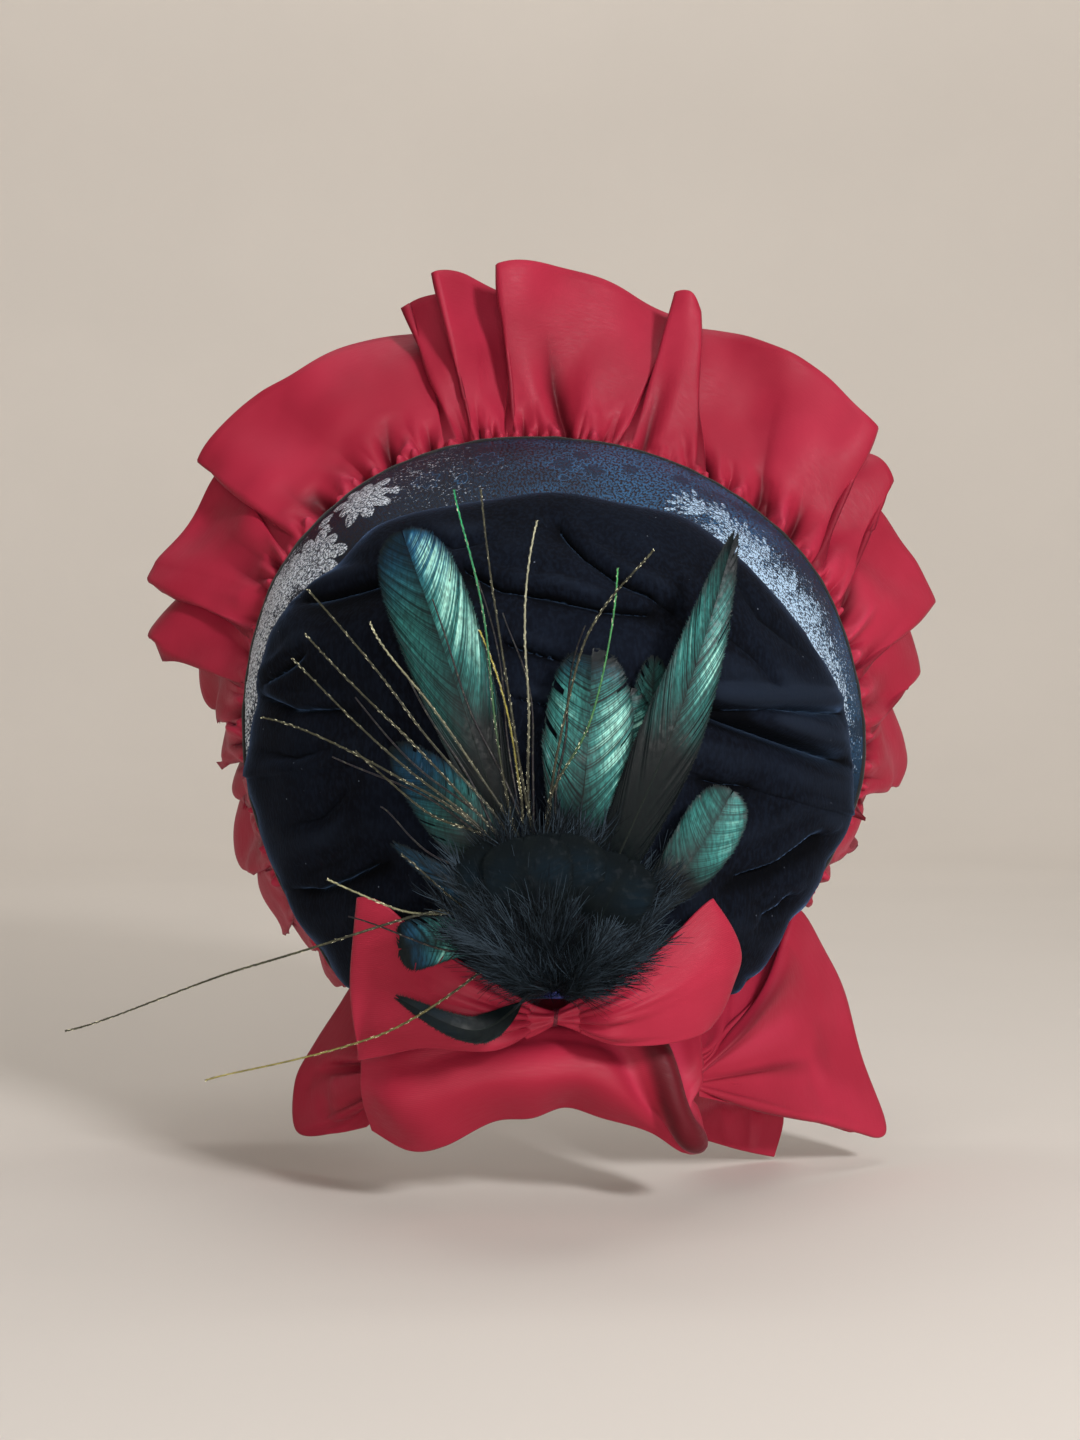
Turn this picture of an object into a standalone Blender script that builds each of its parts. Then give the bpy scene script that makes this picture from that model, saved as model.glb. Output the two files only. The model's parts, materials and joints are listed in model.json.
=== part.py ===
"""Handmade bonnet: velvet crown, brocade brim, gathered satin ruffle, nape bow and feather spray.

Tables are in millimetres, in the bonnet's own frame: X to the wearer's right, Y the way the
wearer faces, Z up. The origin is the middle of the hollow for the head. A turn is an angle in
degrees round the Y axis, from 0 at the top, growing towards the wearer's right.
"""
import math

import bmesh
import bpy
from mathutils import Vector
from mathutils.geometry import intersect_point_line

MM = 0.001

# Walls and gaps
VELVET_WALL = 2.4
BRIM_WALL = 2.4
SATIN_WALL = 1.2
GAP = 0.4

# The binding is a round bias tape, and the ruffle's root stands just outside it
BINDING_RADIUS = 1.6
BRIM_END_SETBACK = BINDING_RADIUS + GAP
CROWN_END_SETBACK = BINDING_RADIUS + 3 * GAP
RUFFLE_SETOFF = BINDING_RADIUS + 1.6 * GAP
SEAM_GAP = 0.9
SEAM_GAP_AT_CORNER = 1.8
CROWN_POLE = Vector((0.0, -105.0, -4.0))

# The velvet's body to either side: turn, how full its curve is and how far it puffs out
CROWN_BODY = (
    (0, 2.20, 2.8),
    (60, 2.15, 1.6),
    (90, 1.85, 0.2),
    (125, 1.90, 0.0),
    (145, 2.35, 0.0),
    (162, 2.95, 0.2),
    (180, 3.00, 0.2),
)

# The bound edge all round, a little uneven as hand work is: turn, x, y, z
EDGE = (
    (-180, 0.0, -60, -83.0),
    (-162, -40.0, -48, -85.0),
    (-143, -64.0, -28, -84.0),
    (-135, -74.0, -22, -74.0),
    (-120, -89.0, -13, -51.0),
    (-100, -100.5, -4, -18.0),
    (-80, -101.0, 4, 18.0),
    (-60, -90.5, 12, 52.0),
    (-40, -66.0, 21, 79.0),
    (-20, -34.0, 26, 93.5),
    (0, 0.0, 28, 96.5),
    (20, 33.5, 26, 90.5),
    (40, 63.5, 21, 75.0),
    (60, 87.5, 12, 50.0),
    (80, 99.5, 4, 17.5),
    (100, 101.2, -4, -18.0),
    (120, 86.5, -13, -49.8),
    (135, 70.5, -22, -71.5),
    (143, 61.0, -28, -82.5),
    (162, 39.5, -48, -85.0),
    (180, 0.0, -60, -83.0),
)

# The seam of the velvet on the brocade, over the top: turn, x, y, z
SEAM = (
    (-100, -101.2, -6.7, -17.9),
    (-94, -98.5, -6, -7.5),
    (-86, -95.5, -12, 6.9),
    (-74, -90.0, -21, 25.0),
    (-64, -79.1, -28, 38.4),
    (-55, -66.5, -34, 47.0),
    (-42, -54.0, -37, 59.0),
    (-24, -28.7, -40, 65.0),
    (0, 0.0, -40, 67.6),
    (21, 24.4, -40, 64.4),
    (33, 39.5, -39, 61.0),
    (44, 51.8, -38, 53.4),
    (58, 65.6, -36, 40.7),
    (70, 77.3, -31, 27.4),
    (81, 88.0, -22, 13.5),
    (90, 94.0, -15, 0.0),
    (98, 96.0, -10, -13.1),
    (108, 97.2, -10, -31.2),
)
BRIM_FROM = SEAM[0][0]
BRIM_TO = SEAM[-1][0]
BRIM_LEFT_TIP = -95
BRIM_RIGHT_TIP = 104

# Folds draped in the velvet: from x, z to x, z, how deep, how wide
CROWN_FOLDS = (
    ("top pleat left", -26, 42, -1, 36, 3.5, 5.5),
    ("top pleat right", -1, 36, 27, 30, 3.5, 5.5),
    ("slant pleat", 2, 54, 34, 31, 3.0, 5.5),
    ("middle pleat", -14, 21, 4, 17, 2.0, 5.0),
    ("left wedge high", -72, 35, -50, 40, 4.0, 5.5),
    ("left wedge middle", -86, 18, -64, 12, 3.0, 5.5),
    ("left wedge low", -90, 7, -60, 3, 3.5, 5.0),
    ("right pleat upper", 43, 4, 90, 1, 4.0, 4.5),
    ("right pleat lower", 43, 4, 90, -9, 6.0, 6.0),
    ("right hollow", 44, -18, 60, -20, 2.5, 7.0),
    ("low left crease", -74, -50, -50, -42, 4.0, 5.5),
    ("low right crease", 52, -48, 77, -38, 5.0, 6.0),
    ("low right dimple", 62, -56, 67, -54, 4.0, 5.0),
)

# The ruffle's pleats from lower left to lower right. Each has the turns of the edge that its
# cloth is gathered on, then its hem at three places: turn, reach from the Y axis, and y.
RUFFLE_PLEATS = (
    (-141, -132, (-139, 118, 34), (-137, 117, 38), (-135, 113, 41)),
    (-132, -126, (-134, 117, 40), (-133, 118, 42), (-131, 117, 43)),
    (-126, -117, (-129, 122, 42), (-127, 120, 45), (-124, 116, 48)),
    (-117, -105, (-116, 122, 46), (-113, 122, 50), (-106, 115, 55)),
    (-105, -99, (-104, 115, 52), (-102, 117, 56), (-99, 116, 59)),
    (-99, -91, (-98, 120, 55), (-97, 121, 58), (-92, 117, 62)),
    (-91, -84, (-89, 122, 56), (-87, 125, 59), (-81, 127, 62)),
    (-84, -75, (-80, 143, 50), (-78, 144, 53), (-70, 141, 58)),
    (-75, -57, (-71, 151, 46), (-69, 153, 49), (-51, 151, 57)),
    (-57, -19, (-54, 156, 43), (-42, 157, 46), (-21, 151, 61)),
    (-19, -16, (-20, 158, 50), (-18, 159, 50), (-14, 158, 49)),
    (-16, -9, (-15, 161, 34), (-11, 160, 42), (-4, 153, 57)),
    (-9, 15, (-7, 160, 34), (4, 159, 43), (18, 154, 57)),
    (15, 30, (16, 157, 47), (18, 158, 43), (20, 152, 43)),
    (30, 61, (20, 151, 53), (33, 154, 43), (48, 153, 38)),
    (61, 68, (46, 145, 48), (51, 148, 46), (55, 146, 44)),
    (68, 82, (55, 137, 55), (66, 142, 52), (73, 142, 48)),
    (82, 92, (74, 131, 58), (79, 133, 54), (83, 132, 50)),
    (92, 106, (86, 122, 58), (95, 124, 55), (101, 126, 50)),
    (106, 117, (104, 113, 55), (109, 116, 52), (112, 117, 48)),
    (117, 126, (113, 110, 52), (118, 113, 47), (121, 112, 42)),
)
RUFFLE_TUCK = 2.5
RUFFLE_STEPS = (2, 3, 1)
RUFFLE_ROWS = (0.0, 0.12, 0.32, 0.65, 1.0)
RUFFLE_FLARE = 0.42
RUFFLE_LIFT = 5.0

# The nape curtain from left to right: its root under the binding, its shelf behind the bow,
# its belly and its hem. The last three sections are the part that curls back.
CURTAIN_SECTIONS = (
    ((-47, -44, -89), (-56, -76, -97), (-57, -84, -109), (-54, -80, -121)),
    ((-41, -49, -89), (-45, -84, -94), (-47, -93, -109), (-43, -84, -126)),
    ((-31, -54, -88), (-33, -87, -92), (-32, -97, -107), (-32, -86, -124)),
    ((-19, -58, -87), (-19, -88, -91), (-18, -98, -103), (-18, -87, -117)),
    ((-5, -60, -86), (-5, -89, -91), (-5, -98, -102), (-7, -87, -116)),
    ((8, -60, -86), (8, -89, -91), (8, -97, -102), (3, -86, -113)),
    ((20, -58, -87), (20, -87, -93), (18, -95, -106), (14, -86, -116)),
    ((31, -54, -88), (31, -84, -97), (28, -90, -112), (28, -84, -121)),
    ((40, -50, -89), (39, -78, -104), (38, -86, -119), (38, -80, -128)),
    ((44, -56, -92), (44, -70, -103), (44, -77, -115), (43, -76, -126)),
    ((40, -60, -95), (41, -67, -101), (42, -69, -108), (42, -69, -115)),
    ((30, -60, -96), (30, -64, -101), (30, -65, -107), (29, -66, -112)),
)

# Each bow loop from the knot out, round its fold and back: top, middle and foot of the ribbon
LOOP_RIGHT_SECTIONS = (
    ((7.2, -102, -81), (7.4, -103, -85), (7.2, -102, -89)),
    ((15, -107, -76), (16, -110, -83), (17, -105, -92)),
    ((28, -109, -66), (30, -110, -78), (30, -104, -92)),
    ((40, -107, -54), (46, -106, -70), (41, -101, -90)),
    ((44, -105, -51), (53, -100, -68), (45, -96, -88)),
    ((41, -103, -55), (46, -97, -70), (41, -94, -88)),
    ((26, -101, -67), (26, -97.5, -78), (26, -95, -90)),
    ((8, -97, -81), (8, -97, -85), (8, -97, -88)),
)
LOOP_LEFT_SECTIONS = (
    ((-7.2, -102, -81), (-7.4, -103, -85), (-7.2, -102, -89)),
    ((-18, -108, -74), (-18, -111, -83), (-18, -106, -93)),
    ((-35, -107, -64), (-36, -109, -79), (-37, -103, -93)),
    ((-49, -104, -52), (-51, -100, -75), (-49, -98, -96)),
    ((-56, -100, -51), (-59, -94, -76), (-57, -93, -98)),
    ((-49, -98.6, -55), (-51, -91, -75), (-50, -92, -94)),
    ((-32, -100.5, -66), (-32, -96, -79), (-32, -96, -91)),
    ((-8, -97, -81), (-8, -97, -85), (-8, -97, -88)),
)
KNOT_CENTRE = Vector((0.0, -100.0, -85.0))
KNOT_RADII = Vector((6.7, 5.0, 5.4))
KNOT_PUCKER = 0.9

# Each tie is sewn to the edge past the ruffle's end, at these turns, and fans from its pinched
# end out to the rest of its rim: x, y, z and how far the cloth bellies
TIE_RIGHT_TUCK = (42.0, -38.0, -92.0)
TIE_RIGHT_SLACK = 0.3
TIE_RIGHT_SEATS = (153, 147, 139, 133, 127.5)
TIE_RIGHT_PINCH = Vector((46.0, -61.0, -107.0))
TIE_RIGHT_RIM = (
    (95, -7, -89, -4.0),
    (102, -8, -112, 3.0),
    (108, -15, -134, -3.0),
    (97, -22, -133, 2.0),
    (83, -32, -127, -1.0),
)
TIE_LEFT_SEATS = (-150, -146, -143)
TIE_LEFT_PINCH = Vector((-46.0, -60.0, -106.0))
TIE_LEFT_RIM = (
    (-77, -21, -104, -3.0),
    (-84, -20, -117, 3.0),
    (-83, -20, -133, -3.0),
    (-70, -29, -132, 2.0),
    (-59, -38, -128, -1.0),
)
PINCH_STEP = 1.5
TIE_CLEARANCE = 4.0

# The right tie's end hangs behind it: left edge, middle and right edge, from top to bottom
TIE_TAIL_SECTIONS = (
    ((47, -58, -112), (55, -51, -113), (63, -45, -116)),
    ((47, -44, -120), (57, -36, -119), (69, -28, -121)),
    ((48, -28, -128), (60, -18, -127), (75, -12, -130)),
    ((48, -24, -134), (61, -16, -140), (72, -11, -143)),
)

# Coque feathers: name, foot, middle, tip, half width, where it is widest, how round its tip is
FEATHERS = (
    ("feather_tall_left", (-4.0, -100.2, -70), (-24, -112.5, -2), (-44, -101, 54), 11.5, 0.76, 0.95),
    ("feather_tall_right", (3.0, -104.3, -70), (32.5, -121, -2), (51, -108, 54), 8.6, 0.47, 0.10),
    ("feather_centre", (0.0, -103.2, -70), (8, -117, -16), (10, -113, 20), 12.5, 0.62, 0.80),
    ("feather_centre_right", (2.0, -101.6, -70), (16, -113.6, -22), (21, -110, 9), 7.5, 0.66, 0.80),
    ("feather_grey", (1.2, -100.0, -70), (23, -110.6, -20), (28, -106, 18), 6.5, 0.68, 0.50),
    ("feather_round_right", (4.0, -101.4, -70), (34, -111, -44), (50, -107, -20), 8.5, 0.74, 0.85),
    ("feather_low_left", (-3.6, -103.6, -70), (-24, -114.5, -32), (-46, -107, -7), 9.0, 0.62, 0.40),
)
SIDE_FEATHERS = (
    ("feather_pointed_left", (-5.5, -101.6, -71), (-24, -117, -50), (-46, -115, -34), 4.0, 0.5, 0.1),
    ("feather_fan", (-5.2, -103.4, -72.5), (-26, -116.5, -61), (-44, -114, -64), 7.0, 0.85, 0.95),
    ("feather_crescent", (-4.9, -104.0, -75.5), (-20, -117.5, -82), (-45, -115, -77), 4.5, 0.4, 0.1),
)
QUILL_HALF = 0.55
QUILL_SHARE = 0.22
FEATHER_STATIONS = 11
SHAFT_HALF = 0.8

# Peacock herls: each runs from the spray's head through its points to its tip
HERL_HEAD = Vector((-0.5, -107.6, -71.0))
HERL_HEAD_RADII = Vector((2.6, 1.6, 3.4))
HERL_HALF = 0.55
HERL_STATIONS = 6
HERLS = (
    ("green tall", (-10, -121.5, -30), (-19, -122, 22), (-30, -120, 63)),
    ("grey tall", (-7, -121.5, -30), (-16, -122, 10), (-20, -120, 64)),
    ("pale tall", (-9, -121.5, -28), (-7, -122, 12), (-5, -120, 55)),
    ("arched right", (-3, -122, -24), (8, -123, 18), (28, -121, 46)),
    ("green right", (-1, -122, -26), (11, -123, 0), (15, -121, 42)),
    ("yellow short", (-8, -121.5, -30), (-13, -122, -11), (-20, -121, 25)),
    ("far left high", (-12, -121, -34), (-42, -121, 0), (-69, -118, 36)),
    ("left high", (-12, -121, -34), (-33, -121, 2), (-50, -118, 28)),
    ("left middle", (-13, -121, -35), (-38, -121, -6), (-71, -118, 22)),
    ("left mat", (-13, -121, -36), (-40, -121, -12), (-74, -118, 16)),
    ("left low", (-14, -121, -36), (-46, -121, -16), (-82, -118, 0)),
    ("left short", (-14, -121, -40), (-35, -121, -26), (-54, -118, -7)),
    ("curled left", (-16, -120.5, -57), (-43, -121, -53), (-62, -119, -42)),
    ("long upper", (-30, -121, -53), (-84, -121, -66), (-136, -117, -87)),
    ("long lower", (-14, -120.5, -62), (-48, -122, -88), (-97, -118, -101)),
    ("pale stem", (-10, -122, -63), (-24, -123, -54), (-44, -121, -39)),
)

# The down: locks round a domed backing, with their turn, reach and lift from the bonnet
DOWN_CENTRE = Vector((0.5, -126.2, -57.0))
DOWN_RADII = Vector((12.0, 3.4, 12.0))
DOWN_LOCKS = (
    (-100, 30, 3),
    (-80, 34, 5),
    (-60, 36, 6),
    (-42, 35, 5),
    (-24, 33, 6),
    (-6, 31, 5),
    (12, 31, 6),
    (30, 33, 5),
    (48, 36, 6),
    (66, 38, 5),
    (84, 35, 5),
    (104, 28, 4),
    (126, 23, 3),
    (150, 20, 2),
    (182, 17, 2),
    (214, 20, 2),
    (238, 25, 3),
)
DOWN_ROOT = ((0.5, -119.0, -76.5), (0.3, -106.5, -77.6))
LOCK_HALF_WIDTH = 4.6
LOCK_HALF_DEPTH = 1.7

WRAP_CENTRE = Vector((0.0, -102.0, -74.8))
WRAP_RADIUS = 4.0
WRAP_HEIGHT = 8.4
WRAP_TURNS = 3

# Colours from the real cloth: red, green, blue, then roughness
LOOKS = {
    "velvet": (0.004, 0.006, 0.010, 0.95),
    "brocade": (0.030, 0.036, 0.050, 0.55),
    "binding": (0.010, 0.010, 0.010, 0.85),
    "satin": (0.400, 0.030, 0.055, 0.45),
    "feather": (0.020, 0.110, 0.095, 0.40),
    "herl": (0.300, 0.270, 0.080, 0.45),
    "down": (0.008, 0.010, 0.013, 0.95),
    "thread": (0.012, 0.016, 0.110, 0.60),
}


def clear_scene():
    for item in list(bpy.data.objects):
        bpy.data.objects.remove(item, do_unlink=True)


def make_material(look):
    material = bpy.data.materials.get(look) or bpy.data.materials.new(look)
    red, green, blue, roughness = LOOKS[look]
    material.diffuse_color = (red, green, blue, 1.0)
    material.use_nodes = True
    shader = material.node_tree.nodes["Principled BSDF"]
    shader.inputs["Base Color"].default_value = (red, green, blue, 1.0)
    shader.inputs["Roughness"].default_value = roughness
    shader.inputs["Metallic"].default_value = 0.0
    return material


def hermite(before, start, end, after, share, spans):
    """A smooth value between start and end, with the slopes of their neighbours."""
    left, middle, right = spans
    slope_start = (end - before) * (middle / (left + middle))
    slope_end = (after - start) * (middle / (middle + right))
    square = share * share
    cube = square * share
    return (
        start * (2 * cube - 3 * square + 1)
        + slope_start * (cube - 2 * square + share)
        + end * (3 * square - 2 * cube)
        + slope_end * (cube - square)
    )


def read_rows(rows, key):
    """The smooth value of a table's columns at a key between its rows."""
    key = min(max(key, rows[0][0]), rows[-1][0])
    index = max(i for i in range(len(rows) - 1) if rows[i][0] <= key)
    start, end = rows[index], rows[index + 1]
    before = rows[index - 1] if index > 0 else start
    after = rows[index + 2] if index + 2 < len(rows) else end
    middle = end[0] - start[0]
    left = start[0] - before[0] or middle
    right = after[0] - end[0] or middle
    share = (key - start[0]) / middle
    columns = range(1, len(start))
    spans = (left, middle, right)
    return [hermite(before[c], start[c], end[c], after[c], share, spans) for c in columns]


def closed_ring(rows):
    """A ring's rows with two over at each end, so that it closes smoothly."""
    head = [(turn - 360, *place) for turn, *place in rows[-3:-1]]
    tail = [(turn + 360, *place) for turn, *place in rows[1:3]]
    return head + list(rows) + tail


EDGE_RING = closed_ring(EDGE)


def edge_at(turn):
    return Vector(read_rows(EDGE_RING, turn))


def outward_at(turn):
    """The way that the cloth runs across the edge, from the crown outwards."""
    edge = edge_at(turn)
    radial = Vector((edge.x, 0.0, edge.z)).normalized()
    if BRIM_FROM < turn < BRIM_TO:
        across = edge - Vector(read_rows(SEAM, turn))
        return across.normalized()
    forward = radial * 0.3 + Vector((0.0, 0.95, 0.0))
    along = (edge_at(turn + 1) - edge_at(turn - 1)).normalized()
    return (forward - along * forward.dot(along)).normalized()


def rim_at(turn):
    """The crown's rim: on the brocade over the top, and at the binding below it."""
    if BRIM_FROM < turn < BRIM_TO:
        return Vector(read_rows(SEAM, turn))
    return edge_at(turn) - outward_at(turn) * CROWN_END_SETBACK


def smooth_path(points, share):
    """A point at a share of a smooth curve through a few points."""
    rows = [(index, *point) for index, point in enumerate(points)]
    return Vector(read_rows(rows, share * (len(points) - 1)))


def mesh_object(name, bm, look, sharp=math.radians(50)):
    """Turn a closed bmesh in millimetres into an object with its faces outwards."""
    bmesh.ops.recalc_face_normals(bm, faces=bm.faces)
    if bm.calc_volume(signed=True) < 0:
        bmesh.ops.reverse_faces(bm, faces=bm.faces)
    bmesh.ops.scale(bm, vec=(MM, MM, MM), verts=bm.verts)
    mesh = bpy.data.meshes.new(name)
    bm.to_mesh(mesh)
    bm.free()
    mesh.shade_smooth()
    mesh.set_sharp_from_angle(angle=sharp)
    mesh.materials.append(make_material(look))
    item = bpy.data.objects.new(name, mesh)
    bpy.context.collection.objects.link(item)
    return item


def grid_normals(grid, closed):
    """The normal at each point of a grid of columns, from its neighbours."""
    columns = len(grid)
    rows = len(grid[0])
    normals = []
    for i in range(columns):
        line = []
        for j in range(rows):
            ahead = grid[(i + 1) % columns][j] if closed else grid[min(i + 1, columns - 1)][j]
            behind = grid[i - 1][j] if closed or i > 0 else grid[0][j]
            up = grid[i][min(j + 1, rows - 1)]
            down = grid[i][max(j - 1, 0)]
            line.append((ahead - behind).cross(up - down).normalized())
        normals.append(line)
    return normals


def sheet_object(name, grid, wall, look, closed=False):
    """A sheet with a wall, from a grid of columns of points on its middle surface."""
    bm = bmesh.new()
    normals = grid_normals(grid, closed)
    sides = []
    for sign in (0.5, -0.5):
        side = []
        for column, normal_column in zip(grid, normals):
            pairs = zip(column, normal_column)
            side.append([bm.verts.new(point + normal * wall * sign) for point, normal in pairs])
        sides.append(side)
    front, back = sides
    columns = len(grid)
    rows = len(grid[0])
    for i in range(columns if closed else columns - 1):
        n = (i + 1) % columns
        for j in range(rows - 1):
            bm.faces.new((front[i][j], front[n][j], front[n][j + 1], front[i][j + 1]))
            bm.faces.new((back[i][j], back[i][j + 1], back[n][j + 1], back[n][j]))
        bm.faces.new((front[i][0], back[i][0], back[n][0], front[n][0]))
        bm.faces.new((front[i][-1], front[n][-1], back[n][-1], back[i][-1]))
    if not closed:
        for i in (0, columns - 1):
            for j in range(rows - 1):
                bm.faces.new((front[i][j], front[i][j + 1], back[i][j + 1], back[i][j]))
    return mesh_object(name, bm, look)


def section_sheet(name, sections, wall, look, columns, rows):
    """A sheet through a few sections, each with three or more points."""
    grid = []
    for i in range(columns):
        share = i / (columns - 1)
        across = [smooth_path([section[k] for section in sections], share)
                  for k in range(len(sections[0]))]
        grid.append([smooth_path(across, j / (rows - 1)) for j in range(rows)])
    return sheet_object(name, grid, wall, look)


def fold_depth(x, z):
    """How far the drape of the velvet sinks, or rises, at a place seen from behind."""
    sink = 0.0
    rise = 0.0
    for _, from_x, from_z, to_x, to_z, deep, wide in CROWN_FOLDS:
        start = Vector((from_x, from_z, 0.0))
        end = Vector((to_x, to_z, 0.0))
        place = Vector((x, z, 0.0))
        nearest, share = intersect_point_line(place, start, end)
        nearest = start.lerp(end, min(max(share, 0.0), 1.0))
        away = (place - nearest).length / wide
        sink = max(sink, deep * math.exp(-away * away))
        rise = max(rise, 0.35 * deep * math.exp(-(away - 2.0) ** 2))
    return sink - rise


def crown_point(turn, share):
    """A point of the velvet, from the rim at 0 to the pole at 1."""
    rim = rim_at(turn)
    quarter = share * math.pi / 2
    fullness, swell = read_rows(CROWN_BODY, abs(turn))
    power = 2 / fullness
    spread = max(math.cos(quarter), 0.0) ** power
    rise = math.sin(quarter) ** power
    flat = Vector((rim.x, 0.0, rim.z)) * spread
    point = Vector((
        flat.x + CROWN_POLE.x * (1 - spread),
        rim.y + (CROWN_POLE.y - rim.y) * rise,
        flat.z + CROWN_POLE.z * (1 - spread),
    ))
    middle = Vector((0.0, -30.0, 0.0))
    away = (point - middle).normalized()
    puff = swell * math.sin(math.pi * min(share * 2.2, 1.0)) ** 2
    settle = min(share * 6.0, 1.0)
    return point + away * (puff - fold_depth(point.x, point.z) * settle)


def build_crown():
    columns = 48
    shares = [0.0, 0.06, 0.13, 0.21, 0.30, 0.39, 0.48, 0.57, 0.66, 0.76, 0.87]
    turns = [-180 + 360 * i / columns for i in range(columns)]
    grid = [[crown_point(turn, share) for share in shares] for turn in turns]
    normals = grid_normals(grid, True)
    bm = bmesh.new()
    sides = []
    for sign in (0.5, -0.5):
        offset = VELVET_WALL * sign
        side = []
        for column, normal_column in zip(grid, normals):
            pairs = zip(column, normal_column)
            side.append([bm.verts.new(point + normal * offset) for point, normal in pairs])
        sides.append(side)
    front, back = sides
    pole = crown_point(0.0, 1.0)
    outside = -1 if normals[0][-1].y < 0 else 1
    front_pole = bm.verts.new(pole + Vector((0, VELVET_WALL / 2 * outside, 0)))
    back_pole = bm.verts.new(pole - Vector((0, VELVET_WALL / 2 * outside, 0)))
    for i in range(columns):
        n = (i + 1) % columns
        for j in range(len(shares) - 1):
            bm.faces.new((front[i][j], front[n][j], front[n][j + 1], front[i][j + 1]))
            bm.faces.new((back[i][j], back[i][j + 1], back[n][j + 1], back[n][j]))
        bm.faces.new((front[i][0], back[i][0], back[n][0], front[n][0]))
        bm.faces.new((front[i][-1], front[n][-1], front_pole))
        bm.faces.new((back[n][-1], back[i][-1], back_pole))
    return mesh_object("crown", bm, "velvet")


def build_brim():
    columns = 34
    rows = 4
    grid = []
    for i in range(columns):
        turn = BRIM_LEFT_TIP + (BRIM_RIGHT_TIP - BRIM_LEFT_TIP) * i / (columns - 1)
        seam = Vector(read_rows(SEAM, turn))
        edge = edge_at(turn)
        across = (edge - seam).normalized()
        radial = Vector((edge.x, 0.0, edge.z)).normalized()
        start = seam + across * (SEAM_GAP + SEAM_GAP_AT_CORNER * across.dot(radial))
        end = edge - across * BRIM_END_SETBACK
        width = (end - start).length
        column = []
        for j in range(rows):
            share = j / (rows - 1)
            column.append(start.lerp(end, share) + radial * width * 0.04 * math.sin(math.pi * share))
        grid.append(column)
    return sheet_object("brim", grid, BRIM_WALL, "brocade")


def tube_ring(name, centre_at, axis_at, radius_at, look, steps, sides):
    """A closed ring with a round section."""
    bm = bmesh.new()
    rings = []
    for i in range(steps):
        centre = centre_at(i)
        side, up = axis_at(i)
        ring = []
        for k in range(sides):
            angle = 2 * math.pi * k / sides
            radius = radius_at(i)
            ring.append(bm.verts.new(centre + (side * math.cos(angle) + up * math.sin(angle)) * radius))
        rings.append(ring)
    for i in range(steps):
        n = (i + 1) % steps
        for k in range(sides):
            m = (k + 1) % sides
            bm.faces.new((rings[i][k], rings[i][m], rings[n][m], rings[n][k]))
    return mesh_object(name, bm, look)


def build_binding():
    steps = 64
    turns = [-180 + 360 * i / steps for i in range(steps)]

    def axes(index):
        turn = turns[index]
        along = (edge_at(turn + 1) - edge_at(turn - 1)).normalized()
        side = outward_at(turn)
        side = (side - along * side.dot(along)).normalized()
        return side, along.cross(side)

    return tube_ring(
        "edge_binding", lambda i: edge_at(turns[i]), axes, lambda i: BINDING_RADIUS,
        "binding", steps, 6,
    )


def ruffle_hem():
    """The hem's way through every pleat: turn of the edge, turn of the hem, reach and y."""
    way = []
    for index, (root_from, root_to, start, middle, end) in enumerate(RUFFLE_PLEATS):
        first, last = start, end
        if index > 0:
            before = RUFFLE_PLEATS[index - 1][4]
            if before[2] < start[2]:
                first = (before[0] - RUFFLE_TUCK, start[1] - 1.5, start[2])
        if index < len(RUFFLE_PLEATS) - 1:
            after = RUFFLE_PLEATS[index + 1][2]
            if end[2] > after[2]:
                last = (after[0] + RUFFLE_TUCK, end[1] - 1.5, end[2])
        span = root_to - root_from
        way.append((root_from + 0.07 * span, *first))
        way.append((root_from + 0.5 * span, *middle))
        way.append((root_to - 0.07 * span, *last))
    return way


def ruffle_columns():
    """The root's and hem's places for every column of the ruffle."""
    way = ruffle_hem()
    columns = []
    for index in range(len(way) - 1):
        start, end = way[index], way[index + 1]
        inside_pleat = index % 3 < 2
        steps = RUFFLE_STEPS[1] if inside_pleat else RUFFLE_STEPS[2]
        if inside_pleat and abs(end[1] - start[1]) < 4:
            steps = RUFFLE_STEPS[0]
        before = way[index - 1] if index % 3 == 1 else start
        after = way[index + 2] if index % 3 == 0 else end
        for step in range(steps):
            share = step / steps
            if inside_pleat:
                values = [hermite(before[c], start[c], end[c], after[c], share, (1, 1, 1))
                          for c in range(4)]
            else:
                values = [start[c] + (end[c] - start[c]) * share for c in range(4)]
            columns.append(values)
    columns.append(list(way[-1]))
    return columns


def ruffle_point(root_turn, hem_turn, reach, y, share):
    """A point of the ruffle, from its root on the edge at 0 to its hem at 1."""
    outward = outward_at(root_turn)
    root = edge_at(root_turn) + outward * RUFFLE_SETOFF
    angle = math.radians(hem_turn)
    hem = Vector((math.sin(angle) * reach, y, math.cos(angle) * reach))
    length = (hem - root).length
    steer = root + outward * length * RUFFLE_FLARE
    lift = Vector((0.0, -RUFFLE_LIFT * math.sin(math.pi * share) * 0.5, 0.0))
    rest = 1 - share
    return root * rest * rest + steer * 2 * rest * share + hem * share * share + lift


def build_ruffle():
    grid = [[ruffle_point(*values, share) for share in RUFFLE_ROWS] for values in ruffle_columns()]
    return sheet_object("ruffle", grid, SATIN_WALL, "satin")


def tie_seat(turn, slack):
    """Where a tie is sewn on, just under the binding."""
    edge = edge_at(turn)
    below = RUFFLE_SETOFF + SATIN_WALL + slack
    return edge + Vector((edge.x, 0.0, edge.z)).normalized() * below


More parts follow.
